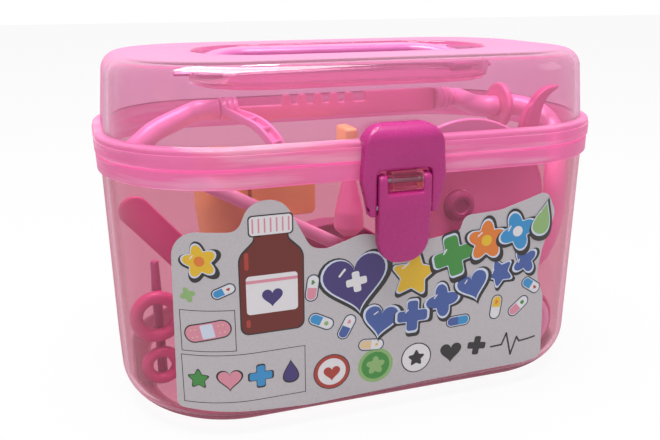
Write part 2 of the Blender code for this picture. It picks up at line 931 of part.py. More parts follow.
def face_spot(x_share, z_share):
    """A place seen from the front: shares of the inner half length and the contents' height."""
    return Vector((x_share * inner_end, z_share * contents_height))


def make_headset():
    depth = -headset_depth_share * inner_front
    headset_height = contents_height * headset_height_share
    start = Vector((-inner_end * bridge_left_share, depth, headset_height))
    end = Vector((inner_end * bridge_right_share, depth, headset_height))
    along = Vector((1, 0, 0))
    gap = along * clearance
    width = along * collar_width

    rail_low = headset_height - bridge_rail_height / 2
    rail_high = headset_height + bridge_rail_height / 2
    block_low = headset_height - bridge_block_height / 2
    block_high = headset_height + bridge_block_height / 2
    outline = [(start.x, rail_low), (start.x, rail_high)]
    pitch = (tooth_start + tooth_end) / tooth_count
    for k in range(tooth_count):
        for across, up in tooth_shape_shares:
            outline.append((-tooth_start + pitch * (k + across), rail_high + tooth_height * up))
    block_start = end.x - bridge_block_length
    outline += [
        (block_start, rail_high),
        (block_start, block_high),
        (end.x, block_high),
        (end.x, block_low),
        (block_start, block_low),
        (block_start, rail_low),
    ]
    half = bridge_thickness / 2
    prism("headset_bridge", outline, "Y", depth - half, depth + half, coral)

    left_face = start - gap
    right_face = end + gap
    collar("collar_left", left_face - width, left_face)
    collar("collar_right", right_face, right_face + width)

    tube_end = left_face - width - gap
    tip_place = spot(0, *ear_tip_place_shares)
    tip_place.x = ear_tip_end_gap - inner_end
    left_route = [tip_place] + [spot(*shares) for shares in left_tube_route_shares]
    left_route += [tube_end - along * ear_tube_radius * tube_run_share, tube_end]
    tube("ear_tube_left", left_route, ear_tube_radius, light_pink)
    out = (tip_place - left_route[1]).normalized()
    tip_profile = [(ear_tip_radius * r, ear_tip_radius * d) for r, d in ear_tip_profile_shares]
    turned("ear_tip_left", tip_profile, tip_place + out * clearance, out, mauve)

    flange_place = Vector(
        (
            right_face.x + collar_width * flange_offset_share,
            inner_front * flange_depth_share,
            headset_height - flange_drop,
        )
    )
    tube_start = right_face + width + gap
    tube_end = flange_place - gap
    right_route = [tube_start, tube_start + along * ear_tube_radius]
    for back, depth_share in right_tube_bend_shares:
        bend = flange_place.x - ear_tube_radius * back
        right_route.append(Vector((bend, depth * depth_share, flange_place.z)))
    right_route += [tube_end - along * ear_tube_radius * right_tube_end_share, tube_end]
    tube("ear_tube_right", right_route, ear_tube_radius, light_pink)
    flange_end = flange_place + along * flange_thickness
    cylinder("hose_flange", flange_radius, flange_place, flange_end, deep_pink)

    chest_place = spot(*chest_place_shares, 0)
    chest_place.z = seat + chest_radius
    spigot_top = chest_place + Vector((0, 0, chest_radius + spigot_height))
    hose_start = flange_end + gap
    hose_end = spigot_top + Vector((0, 0, clearance))
    hose_route = [hose_start, hose_start + along * hose_radius]
    hose_route += [spot(*shares) for shares in hose_route_shares]
    hose_route += [hose_end + Vector((0, 0, hose_radius)), hose_end]
    tube("hose", hose_route, hose_radius, light_pink)

    front = chest_place - Vector((0, chest_thickness / 2, 0))
    back = chest_place + Vector((0, chest_thickness / 2, 0))
    chest = cylinder("chest_piece", chest_radius, front, back, deep_pink)
    spigot = cylinder("chest_spigot", spigot_radius, chest_place, spigot_top, None, cutters)
    change(chest, spigot, "UNION")
    face = front - Vector((0, clearance, 0))
    cylinder(
        "chest_diaphragm",
        chest_radius - diaphragm_inset,
        face - Vector((0, diaphragm_thickness, 0)),
        face,
        lilac,
    )

    arm_start = left_face - width / 2 - Vector((0, collar_radius + clearance, 0))
    arm_route = [arm_start, arm_start - Vector((0, yoke_radius, 0))]
    arm_route += [spot(*shares) for shares in yoke_route_shares]
    tube("yoke_arm", arm_route, yoke_radius, coral, steps=3)


def collar(name, start, end):
    cylinder(name, collar_radius, start, end, light_pink)


def make_mirror():
    centre = spot(0, *mirror_place_shares)
    centre.x = inner_end - mirror_end_gap
    forward = Vector((0, -1, 0))
    profile = []
    for k in range(mirror_dish_steps + 1):
        share = k / mirror_dish_steps
        radius = mirror_boss_radius + (mirror_radius - mirror_boss_radius) * share
        profile.append((radius, mirror_dish_depth * share**2))
    back = [(r, along - mirror_thickness) for r, along in profile[::-1]]
    turned("mirror_dish", profile + back, centre, forward, light_pink, pierced=True)
    boss_height = mirror_thickness + mirror_boss_height
    boss_profile = [
        ((mirror_boss_radius - clearance) * r, boss_height * d - mirror_thickness)
        for r, d in mirror_boss_profile_shares
    ]
    turned("mirror_boss", boss_profile, centre, forward, mauve)
    back = centre.y + mirror_thickness + clearance
    outline = ribbon(
        [(centre.x, seat + mirror_stem_width / 2), (centre.x, centre.z)],
        [mirror_stem_width, mirror_stem_width],
    )
    prism("mirror_stem", outline, "Y", back, back + mirror_stem_thickness, deep_pink)


def make_tweezers():
    depth = inner_front * tweezers_depth_share
    line = [(inner_end * tweezers_foot_share, seat + tweezers_stem_width / 2)]
    line += [face_spot(*shares) for shares in tweezers_stem_shares]
    stem = ribbon(line, [tweezers_stem_width * share for share in tweezers_stem_width_shares])
    low, high = depth - tweezers_depth / 2, depth + tweezers_depth / 2
    tweezers = prism("tweezers", stem, "Y", low, high, handle_magenta)
    for name, *leaf_shares in tweezers_leaf_shares:
        leaf = ribbon(
            [face_spot(*shares) for shares in (tweezers_top_shares, *leaf_shares)],
            [tweezers_leaf_width * share for share in tweezers_leaf_width_shares],
        )
        helper = prism(name, leaf, "Y", low, high, None, cutters)
        change(tweezers, helper, "UNION")


def make_scissors():
    depth = inner_front * scissors_depth_share
    small_reach = small_ring_radius + small_ring_stock
    large_reach = large_ring_radius + large_ring_stock
    small = Vector((bottom_round - wall - inner_end, seat + small_reach))
    large = Vector((large_ring_end_gap - inner_end, small.y + small_reach + ring_gap + large_reach))
    pivot = Vector((inner_end * scissors_pivot_share, small.y + scissors_pivot_rise))
    tip = Vector((inner_end * scissors_tip_share, pivot.y))
    half_gap = scissors_gap / 2
    layers = (
        ("scissors_upper", large, large_ring_radius, large_ring_stock,
         depth - half_gap - scissors_plate, depth - half_gap, deep_pink),
        ("scissors_lower", small, small_ring_radius, small_ring_stock,
         depth + half_gap, depth + half_gap + scissors_plate, deep_pink),
    )
    for name, ring, radius, stock, low, high, material in layers:
        toward = (pivot - ring).normalized()
        start = ring + toward * radius
        outline = ribbon(
            [start, ring.lerp(pivot, scissors_bend_share), pivot, tip],
            [scissors_arm_width, scissors_arm_width, scissors_blade_width,
             scissors_blade_width * scissors_point_share],
        )
        half = prism(name, outline, "Y", low, high, material)
        bm = bmesh.new()
        ring_mesh_points(bm, radius, stock, Vector((ring.x, depth, ring.y)))
        helper = finished(bm, f"{name}_ring", None, cutters)
        change(half, helper, "UNION")
        hole = cylinder(
            f"{name}_bore",
            scissors_rivet_radius + pin_clearance,
            (pivot.x, low - overrun, pivot.y),
            (pivot.x, high + overrun, pivot.y),
            None,
            cutters,
        )
        change(half, hole, "DIFFERENCE")
        move_origin(half, Vector((pivot.x, depth, pivot.y)))
    outside = half_gap + scissors_plate + clearance
    profile = (
        (scissors_head_radius, -outside - scissors_head_height),
        (scissors_head_radius, -outside),
        (scissors_rivet_radius, -outside),
        (scissors_rivet_radius, outside),
        (scissors_head_radius, outside),
        (scissors_head_radius, outside + scissors_head_height),
    )
    turned("scissors_rivet", profile, Vector((pivot.x, depth, pivot.y)), (0, 1, 0), mauve)


def ring_mesh_points(bm, radius, stock, centre):
    """A ring of round stock in the X Z plane."""
    sides = 8
    rows = []
    for k in range(round_sides):
        angle = 2 * math.pi * k / round_sides
        out = Vector((math.cos(angle), 0, math.sin(angle)))
        row = []
        for j in range(sides):
            turn = 2 * math.pi * j / sides
            offset = out * (radius + stock * math.cos(turn))
            row.append(bm.verts.new(centre + offset + Vector((0, stock * math.sin(turn), 0))))
        rows.append(row)
    for i in range(round_sides):
        low, high = rows[i], rows[(i + 1) % round_sides]
        for j in range(sides):
            after = (j + 1) % sides
            bm.faces.new((low[j], low[after], high[after], high[j]))


def make_small_instruments():
    hammer_x, hammer_y, head_low = spot(*hammer_place_shares, hammer_head_place_share)
    rod_y = hammer_y + hammer_handle_radius + clearance + thermometer_radius
    scope_y = rod_y + thermometer_radius + clearance + otoscope_radius

    neck = (hammer_x, hammer_y, head_low - clearance)
    cylinder("hammer_handle", hammer_handle_radius, (hammer_x, hammer_y, seat), neck, deep_pink)
    profile = [
        (hammer_head_radius * r, hammer_head_height * d) for r, d in hammer_profile_shares
    ]
    profile.append((hammer_neck_radius, hammer_head_height))
    turned("hammer_head", profile, (hammer_x, hammer_y, head_low), (0, 0, 1), light_pink)

    scope_x = inner_end * otoscope_place_share
    bar_top = contents_height * otoscope_height_share
    bar_bottom = contents_height * otoscope_bar_bottom_share
    head_bottom = contents_height * otoscope_head_bottom_share
    cylinder(
        "otoscope_handle",
        otoscope_radius,
        (scope_x, scope_y, seat),
        (scope_x, scope_y, bar_top),
        orange,
    )
    left = scope_x + otoscope_radius + clearance
    tab_right = left + otoscope_bar_length
    outline = rounded(
        [
            (left, bar_top, otoscope_round),
            (tab_right - otoscope_tab_width, bar_top, otoscope_round / 2),
            (tab_right - otoscope_tab_width, bar_top + otoscope_tab_height, otoscope_round),
            (tab_right, bar_top + otoscope_tab_height, otoscope_round),
            (tab_right, bar_bottom, otoscope_round),
            (left + otoscope_head_length, bar_bottom, otoscope_round / 2),
            (left + otoscope_head_length, head_bottom, otoscope_round),
            (left, head_bottom, otoscope_round),
        ],
        steps=2,
    )
    low = scope_y - otoscope_head_depth / 2
    prism("otoscope_head", outline, "Y", low, low + otoscope_head_depth, orange)

    top = face_spot(*thermometer_top_shares).to_3d().xzy
    bottom = face_spot(*thermometer_bottom_shares).to_3d().xzy
    top.y = bottom.y = rod_y
    along = (bottom - top).normalized()
    cap_end = bottom - along * thermometer_cap_length
    cylinder("thermometer", thermometer_radius, top, cap_end - along * clearance, lilac)
    cylinder("thermometer_bulb", thermometer_radius, cap_end, bottom, mauve)

    probe_x, probe_y, _ = spot(*probe_place_shares, 0)
    cylinder(
        "examination_probe",
        probe_radius,
        (probe_x, probe_y, seat),
        (probe_x, probe_y, probe_height),
        mauve,
    )

    depth = inner_front * depressor_depth_share
    half = depressor_width / 2
    head_x = half + clearance - inner_x(depth - depressor_thickness)
    head = (head_x, contents_height * depressor_head_share)
    foot = (inner_end * depressor_foot_share, seat + half)
    outline = ribbon([head, foot], [depressor_width, depressor_width])
    prism(
        "tongue_depressor",
        outline,
        "Y",
        depth - depressor_thickness / 2,
        depth + depressor_thickness / 2,
        deep_pink,
    )


def kidney_outline(inset):
    """A kidney shape in X and Z, its hollow side downwards, drawn in by inset."""
    points = []
    for k in range(kidney_points):
        angle = 2 * math.pi * k / kidney_points
        bend = kidney_waist_share * math.cos(angle) ** 2
        rise = math.sin(angle) * (kidney_rise_share + bend * kidney_lobe_share) - bend
        u = (kidney_length / 2 - inset) * math.cos(angle)
        v = (kidney_height / 2 - inset) * rise
        points.append((u, v))
    return points


def make_kidney_dish():
    lowest = min(v for _, v in kidney_outline(0))
    centre = Vector((inner_end * kidney_place_share, 0, seat - lowest))
    back = -inner_front - (bottom_round - wall)
    front = back - kidney_depth
    outer = [(centre.x + u, centre.z + v) for u, v in kidney_outline(0)]
    inner = [(centre.x + u, centre.z + v) for u, v in kidney_outline(kidney_wall)]
    dish = prism("kidney_dish", outer, "Y", front, back, mauve)
    hollow = prism(
        "kidney_hollow", inner, "Y", front - overrun, back - kidney_wall, None, cutters
    )
    change(dish, hollow, "DIFFERENCE")


make_base()
make_lid()
make_hinge_pins()
make_lever()
make_hook()
make_latch_pins()
make_handle()
make_label()
make_headset()
make_mirror()
make_tweezers()
make_scissors()
make_small_instruments()
make_kidney_dish()
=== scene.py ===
import json
import math
import re

import bmesh
import bpy
from mathutils import Matrix, Vector


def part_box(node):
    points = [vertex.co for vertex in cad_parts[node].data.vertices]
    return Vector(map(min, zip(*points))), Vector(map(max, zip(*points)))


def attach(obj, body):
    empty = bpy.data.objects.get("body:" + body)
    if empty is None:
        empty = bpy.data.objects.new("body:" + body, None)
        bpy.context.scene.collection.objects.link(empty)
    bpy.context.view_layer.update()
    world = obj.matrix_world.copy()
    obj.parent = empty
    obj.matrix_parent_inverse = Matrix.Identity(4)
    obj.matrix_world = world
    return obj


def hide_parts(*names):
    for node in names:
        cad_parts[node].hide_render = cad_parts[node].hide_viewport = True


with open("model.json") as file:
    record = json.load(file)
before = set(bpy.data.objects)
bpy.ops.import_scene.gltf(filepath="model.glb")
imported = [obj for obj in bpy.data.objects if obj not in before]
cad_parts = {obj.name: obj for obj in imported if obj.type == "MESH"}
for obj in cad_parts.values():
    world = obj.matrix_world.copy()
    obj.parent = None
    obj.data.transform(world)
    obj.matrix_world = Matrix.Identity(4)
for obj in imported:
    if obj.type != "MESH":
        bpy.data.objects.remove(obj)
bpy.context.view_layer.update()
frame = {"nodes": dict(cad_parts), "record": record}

mm = 0.001
nodes = frame["nodes"]
slots = {part["node"]: part["material_slot"] for part in frame["record"]["subparts"]}


def linear(hexColour):
    values = [int(hexColour[i:i + 2], 16) / 255 for i in (1, 3, 5)]
    return [v / 12.92 if v <= 0.04045 else ((v + 0.055) / 1.055) ** 2.4 for v in values] + [1.0]


def lengths(**sizes):
    # settings given in mm
    return {name: size * mm for name, size in sizes.items()}


def addNode(tree, kind, settings=None, **links):
    node = tree.nodes.new("ShaderNode" + kind)
    for key, value in (settings or {}).items():
        if isinstance(key, int) or key in node.inputs:
            node.inputs[key].default_value = value
        else:
            setattr(node, key, value)
    for key, source in links.items():
        socket = node.inputs[int(key[1:])] if key[0] == "n" and key[1:].isdigit() else node.inputs[key]
        tree.links.new(source, socket)
    return node


def newMaterial(name, values):
    # the values go on the shader's own sockets
    material = bpy.data.materials.new(name)
    material.use_nodes = True
    tree = material.node_tree
    shader = tree.nodes["Principled BSDF"]
    for key, value in values.items():
        shader.inputs[key].default_value = value
    return material, tree, shader


def rampBetween(tree, noise, colours, stops):
    ramp = addNode(tree, "ValToRGB", Fac=noise.outputs["Fac"])
    for element, colour, stop in zip(ramp.color_ramp.elements, colours, stops):
        element.position, element.color = stop, linear(colour)
    return ramp.outputs["Color"]


def roughFrom(tree, shader, noise, low, high):
    rough = addNode(tree, "MapRange", {"To Min": low, "To Max": high}, Value=noise.outputs["Fac"])
    tree.links.new(rough.outputs["Result"], shader.inputs["Roughness"])


def bumpFrom(tree, shader, noise, strength, distance):
    bump = addNode(tree, "Bump", {"Strength": strength, "Distance": distance}, Height=noise.outputs["Fac"])
    tree.links.new(bump.outputs["Normal"], shader.inputs["Normal"])


def highest(tree, *rays):
    # 1 where any of these kinds of ray arrives
    path = addNode(tree, "LightPath")
    value = path.outputs[rays[0]]
    for ray in rays[1:]:
        larger = addNode(tree, "Math", {"operation": "MAXIMUM"}, n0=value, n1=path.outputs[ray])
        value = larger.outputs["Value"]
    return value


def clearPlastic(name, passed, pigmentAndPaintedStreaks, lit, milk, ior, haze, coat, depth):
    # pink polystyrene, injection moulded: see-through, milky where seen edge on, deeper where it is thick
    material, tree, shader = newMaterial(name, {
        "Base Color": linear(passed), "IOR": ior, "Transmission Weight": 1.0,
        "Coat Weight": coat, "Coat Roughness": 0.03, "Coat IOR": 1.55,
    })
    place = addNode(tree, "TexCoord").outputs["Object"]
    flow = addNode(tree, "TexNoise", {"Scale": 1 / (34 * mm), "Detail": 1.5}, Vector=place)
    fine = addNode(tree, "TexNoise", {"Scale": 1 / (5 * mm), "Detail": 2.0}, Vector=place)
    roughFrom(tree, shader, fine, haze * 0.6, haze * 1.4)
    bumpFrom(tree, shader, flow, 0.12, 0.5 * mm)
    # the pigment scatters light to both sides, more where the eye looks along the wall
    # the noise is stretched into streaks between the two pigment colours; where the second is paler, as on
    # the belt, the streaks are painted reflection
    stretch = addNode(tree, "Mapping", {"Scale": (12, 12, 160)}, Vector=place)
    streak = addNode(tree, "TexNoise", {"Scale": 1.6, "Detail": 3.0}, Vector=stretch.outputs["Vector"])
    tone = rampBetween(tree, streak, pigmentAndPaintedStreaks, (0.5, 0.68))
    outward = addNode(tree, "BsdfDiffuse", Color=tone).outputs["BSDF"]
    inward = addNode(tree, "BsdfTranslucent", Color=tone).outputs["BSDF"]
    pigment = addNode(tree, "MixShader", {0: 0.35}, n1=outward, n2=inward).outputs["Shader"]
    edgeOn = addNode(tree, "LayerWeight", {"Blend": 0.5}).outputs["Facing"]
    reach = {"From Min": 0.62, "To Min": milk[0], "To Max": milk[1]}
    share = addNode(tree, "MapRange", reach, Value=edgeOn).outputs["Result"]
    body = addNode(tree, "MixShader", Fac=share, n1=shader.outputs["BSDF"], n2=pigment).outputs["Shader"]
    # lamps and soft light shine through, tinted, or everything inside would be in the dark
    soft = highest(tree, "Is Shadow Ray", "Is Diffuse Ray")
    through = addNode(tree, "BsdfTransparent", {"Color": linear(lit)}).outputs["BSDF"]
    output = tree.nodes["Material Output"]
    mix = addNode(tree, "MixShader", Fac=soft, n1=body, n2=through)
    tree.links.new(mix.outputs["Shader"], output.inputs["Surface"])
    absorb = addNode(tree, "VolumeAbsorption", {"Color": (0.84, 0.42, 0.66, 1.0), "Density": depth})
    tree.links.new(absorb.outputs["Volume"], output.inputs["Volume"])
    return material


def mouldedPlastic(name, colours, roughness, grain=0.9 * mm, bump=0.05, soft=0.0, coat=0.15, gloss=0.5):
    # injection moulded plastic: an even colour that drifts a little, a fine orange peel, soft gloss
    material, tree, shader = newMaterial(name, {
        "IOR": 1.5, "Specular IOR Level": gloss, "Coat Weight": coat, "Coat Roughness": 0.08,
        "Subsurface Weight": soft, "Subsurface Scale": 2.5 * mm, "Subsurface Radius": (1.0, 0.45, 0.6),
    })
    place = addNode(tree, "TexCoord").outputs["Object"]
    drift = addNode(tree, "TexNoise", {"Scale": 1 / (26 * mm), "Detail": 2.0}, Vector=place)
    tree.links.new(rampBetween(tree, drift, colours, (0.25, 0.75)), shader.inputs["Base Color"])
    peel = addNode(tree, "TexNoise", {"Scale": 1 / grain, "Detail": 3.0}, Vector=place)
    roughFrom(tree, shader, peel, roughness * 0.85, roughness * 1.2)
    bumpFrom(tree, shader, peel, bump, 0.08 * mm)
    return material


def brushedSteel(name):
    # drawn steel wire: bright, with fine lines along its length
    material, tree, shader = newMaterial(name, {"Base Color": linear("#8a8b8e"), "Metallic": 1.0})
    place = addNode(tree, "TexCoord").outputs["Object"]
    stretch = addNode(tree, "Mapping", {"Scale": (60, 1600, 1600)}, Vector=place).outputs["Vector"]
    lines = addNode(tree, "TexNoise", {"Scale": 1.0, "Detail": 3.0}, Vector=stretch)
    roughFrom(tree, shader, lines, 0.22, 0.4)
    bumpFrom(tree, shader, lines, 0.1, 0.05 * mm)
    return material


def coatedPaper(name, colour, shade, roughness=0.42):
    # coated sticker paper: bright, satin, with a trace of fibre
    material, tree, shader = newMaterial(name, {"Roughness": roughness})
    place = addNode(tree, "TexCoord").outputs["Object"]
    fibre = addNode(tree, "TexNoise", {"Scale": 1 / (0.7 * mm), "Detail": 4.0}, Vector=place)
    tree.links.new(rampBetween(tree, fibre, (shade, colour), (0.2, 0.6)), shader.inputs["Base Color"])
    bumpFrom(tree, shader, fibre, 0.04, 0.05 * mm)
    return material


# (name, tint, pigment colours (a paler second colour gives streaks: painted reflection on the belt), tint of
# its shadow, pigment share face on and edge on, IOR, haze, coat, depth)
finishes = {
    "lidPlastic": clearPlastic(
        "clearPinkPolystyrene", "#f0cade", ("#f090c2", "#f090c2"), "#fff8fc",
        (0.08, 0.88), 1.18, 0.03, 0.90, 80,
    ),
    "tubPlastic": clearPlastic(
        "clearPinkPolystyreneTub", "#e9bfca", ("#e08ca6", "#e08ca6"), "#fff4f9",
        (0.05, 0.88), 1.18, 0.04, 0.20, 66,
    ),
    # the belt's paler second pigment colour paints streaky reflections into it: painted reflection
    "beltPlastic": clearPlastic(
        "milkyPinkPolystyrene", "#f793c8", ("#fb94c8", "#ffc8e2"), "#fbd4ea",
        (0.62, 0.85), 1.22, 0.05, 0.6, 60,
    ),
    # a deeper, darker pink for the tub's foot: painted shade along the bottom edge
    "paintedShadeFootPlastic": clearPlastic(
        "deepPinkPolystyrenePaintedShade", "#c87c94", ("#a04a64", "#a8546e"), "#f8dce6",
        (0.45, 0.95), 1.18, 0.05, 0.10, 120,
    ),
    "steel": brushedSteel("drawnSteelWire"),
    # the white sticker paper is given a grey colour: painted shade for the dimmer light on the label's front
    "paper": coatedPaper("stickerPaperGreyedForShade", "#b8b2b6", "#aea9ad"),
}
for key, name, colours, roughness, settings in (
    ("latchPlastic", "magentaAbs", ("#a6246f", "#b02c79"), 0.27,
     {"grain": 5 * mm, "bump": 0.008, "coat": 0.1, "gloss": 0.3}),
    ("handlePlastic", "magentaPolypropylene", ("#c45c9e", "#ce68aa"), 0.28,
     {"grain": 5 * mm, "bump": 0.02, "coat": 0.3}),
    ("lightPink", "lightPinkPolypropylene", ("#f692c8", "#fca2d2"), 0.30, {"soft": 0.15, "coat": 0.4}),
    ("coral", "coralPolypropylene", ("#f074ac", "#f682b6"), 0.30, {"soft": 0.12, "coat": 0.4}),
    ("deepPink", "deepPinkPolypropylene", ("#d2468a", "#dc5296"), 0.34, {"soft": 0.10}),
    ("orange", "orangePolypropylene", ("#ffd878", "#ffe28c"), 0.34, {"soft": 0.12}),
    ("lilac", "lilacPolypropylene", ("#f2bfe2", "#f8cde9"), 0.36, {"soft": 0.15}),
    ("mauve", "mauvePolypropylene", ("#b05088", "#ba5c92"), 0.38, {"soft": 0.08}),
):
    finishes[key] = mouldedPlastic(name, colours, roughness, **settings)
slotOf = {
    "clear_pink_plastic": "tubPlastic", "latch_plastic": "latchPlastic", "handle_plastic": "handlePlastic",
    "light_pink_plastic": "lightPink", "coral_plastic": "coral", "deep_pink_plastic": "deepPink",
    "orange_plastic": "orange", "lilac_plastic": "lilac", "mauve_plastic": "mauve",
    "steel_wire": "steel", "printed_paper": "paper",
}
for node, slot in slots.items():
    nodes[node].data.materials.clear()
    nodes[node].data.materials.append(finishes[slotOf[slot]])
print("materials ready")


def addObject(name, data):
    added = bpy.data.objects.new(name, data)
    bpy.context.scene.collection.objects.link(added)
    return added


def meshFrom(bm, name):
    mesh = bpy.data.meshes.new(name)
    bm.to_mesh(mesh)
    bm.free()
    return mesh


def shadeSmooth(mesh, sharp):
    mesh.shade_smooth()
    mesh.set_sharp_from_angle(angle=math.radians(sharp))


def weld(bm):
    bmesh.ops.remove_doubles(bm, verts=bm.verts[:], dist=1e-6)


def faceOut(bm):
    bmesh.ops.recalc_face_normals(bm, faces=bm.faces[:])


def turnTo(direction):
    return Vector(direction).to_track_quat("Z", "Y").to_matrix().to_4x4()


def carry(bm, view, shift=(0, 0, 0)):
    bmesh.ops.transform(bm, matrix=Matrix.Translation(shift) @ view, verts=bm.verts[:])
    return bm


def finishPiece(bm, name, finish, body="case", node=None, sharp=35, merge=True):
    # a piece replaces the solid of its own name, unless another node or none is given
    node = re.sub("([A-Z])", r"_\1", name).lower() if node is None else node
    # the print's thin layers are made facing outward, and are too thin for a new guess
    if merge:
        weld(bm)
        faceOut(bm)
    mesh = meshFrom(bm, name)
    shadeSmooth(mesh, sharp)
    mesh.materials.append(finishes[finish])
    piece = addObject(name, mesh)
    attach(piece, body)
    if node:
        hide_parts(node)
    return piece


def combine(piece, bm, operation):
    # joined or cut for good, so the piece keeps no live boolean
    faceOut(bm)
    tool = addObject("tool", meshFrom(bm, "tool"))
    modifier = piece.modifiers.new("tool", "BOOLEAN")
    modifier.operation, modifier.solver, modifier.object = operation, "EXACT", tool
    bpy.context.view_layer.update()
    shaped = piece.evaluated_get(bpy.context.evaluated_depsgraph_get())
    result = bpy.data.meshes.new_from_object(shaped)
    piece.modifiers.remove(modifier)
    piece.data = result
    shadeSmooth(result, 35)
    bpy.data.objects.remove(tool)


def cutBore(piece, axis, half, radius, middle=0.0):
    # a hole along x through an axis, half a length to both sides of the middle
    bm = bmesh.new()
    bmesh.ops.create_cone(
        bm, cap_ends=True, segments=32, radius1=radius, radius2=radius, depth=half * 2,
        matrix=Matrix.Translation((middle, *axis.yz)) @ turnTo((1, 0, 0)),
    )
    combine(piece, bm, "DIFFERENCE")


def loopEdges(ring):
    inside = set(ring)
    return [e for e in {e for v in ring for e in v.link_edges} if all(v in inside for v in e.verts)]


def arc(centre, radius, start, end, steps):
    angles = [math.radians(start + (end - start) * k / steps) for k in range(steps + 1)]
    return [(centre[0] + radius * math.cos(a), centre[1] + radius * math.sin(a)) for a in angles]


def firstLoop(bm, places):
    ring = bmesh.ops.create_circle(bm, segments=len(places), radius=1)["verts"]
    for vert, place in zip(ring, places):
        vert.co = place
    return ring


def pullLoop(bm, ring, places):
    # the open edge is pulled out, and its points are set in their new places
    grown = bmesh.ops.extrude_edge_only(bm, edges=loopEdges(ring))["geom"]
    grown = {v for v in grown if isinstance(v, bmesh.types.BMVert)}
    after = [next(e.other_vert(v) for e in v.link_edges if e.other_vert(v) in grown) for v in ring]
    for vert, place in zip(after, places):
        vert.co = place
    return after


def skinMesh(rows):
    # one wall through all the rows of places, closed at both ends
    bm = bmesh.new()
    first = ring = firstLoop(bm, rows[0])
    for places in rows[1:]:
        ring = pullLoop(bm, ring, places)
    for end in (first, ring):
        bmesh.ops.contextual_create(bm, geom=loopEdges(end))
    return bm


def roundCorners(corners, steps=6):
    # corners are (u, v, radius)
    points = []
    for i, (u, v, radius) in enumerate(corners):
        here = Vector((u, v))
        if radius <= 0:
            points.append(here)
            continue
        before = (Vector(corners[i - 1][:2]) - here).normalized()
        after = (Vector(corners[(i + 1) % len(corners)][:2]) - here).normalized()
        half = before.angle(after) / 2
        centre = here + (before + after).normalized() * radius / math.sin(half)
        first = here + before * radius / math.tan(half) - centre
        last = here + after * radius / math.tan(half) - centre
        turn = first.angle_signed(last)
        for k in range(steps + 1):
            points.append(centre + Matrix.Rotation(-turn * k / steps, 2) @ first)
    return points


def roundOver(bm, face, radius, steps=4):
    # insets one after another make a quarter round edge
    for k in range(steps):
        low, high = math.pi / 2 * k / steps, math.pi / 2 * (k + 1) / steps
        bmesh.ops.inset_region(
            bm, faces=[face], use_even_offset=True,
            thickness=radius * (math.cos(low) - math.cos(high)),
            depth=radius * (math.sin(high) - math.sin(low)),
        )


def area(outline):
    return sum(a[0] * b[1] - b[0] * a[1] for a, b in zip(outline, outline[1:] + outline[:1]))


def plateMesh(outline, depth, frontRound=0.0, backRound=0.0):
    # a flat outline pushed out to a thickness along w, with rounded edges on both sides
    bm = bmesh.new()
    face = bm.faces.new([bm.verts.new((u, v, backRound)) for u, v in outline])
    if area(outline) < 0:
        bmesh.ops.reverse_faces(bm, faces=[face])
    grown = bmesh.ops.extrude_face_region(bm, geom=[face], use_keep_orig=True)["geom"]
    front = next(g for g in grown if isinstance(g, bmesh.types.BMFace))
    moved = [g for g in grown if isinstance(g, bmesh.types.BMVert)]
    bmesh.ops.translate(bm, verts=moved, vec=(0, 0, depth - frontRound - backRound))
    bmesh.ops.reverse_faces(bm, faces=[face])
    bm.normal_update()
    for side, radius in ((front, frontRound), (face, backRound)):
        if radius:
            roundOver(bm, side, radius)
    return bm


def spinMesh(profile, centre, direction, steps=48):
    # profile is (radius, along); a closed ring of points gives a ring, an open one a solid
    bm = bmesh.new()
    chain = [bm.verts.new((radius, 0, along)) for radius, along in profile]
    edges = [bm.edges.new(pair) for pair in zip(chain, chain[1:])]
    bmesh.ops.spin(
        bm, geom=chain + edges, axis=(0, 0, 1), cent=(0, 0, 0), angle=2 * math.pi, steps=steps, use_merge=True
    )
    weld(bm)
    return carry(bm, turnTo(direction), centre)


def turnPiece(name, finish, centre, direction, segments, steps, corners):
    # a turned piece from the (radius, along, rounding) corners of its profile
    finishPiece(spinMesh(roundCorners(corners, steps), centre, direction, segments), name, finish)


def roundBar(radius, start, end, edge, steps=32):
    # a turned bar from one point to another with its two edges rounded
    start, end = Vector(start), Vector(end)
    length = (end - start).length
    profile = roundCorners([(0, 0, 0), (radius, 0, edge), (radius, length, edge), (0, length, 0)], 4)
    return spinMesh(profile, start, end - start, steps)


def smoothPath(points, steps=8, guides=None):
    points = [Vector(p) for p in points]
    before, after = guides or (2 * points[0] - points[1], 2 * points[-1] - points[-2])
    padded = [before, *points, after]
    path = []
    for a, b, c, d in zip(padded, padded[1:], padded[2:], padded[3:]):
        for k in range(steps):
            t = k / steps
            bend = (2 * a - 5 * b + 4 * c - d) * t * t + (3 * b - a - 3 * c + d) * t**3
            path.append((2 * b + (c - a) * t + bend) / 2)
    path.append(points[-1])
    return path


def directions(path):
    # which way a path runs at each of its points
    last = len(path) - 1
    return [(path[min(i + 1, last)] - path[max(i - 1, 0)]).normalized() for i in range(last + 1)]


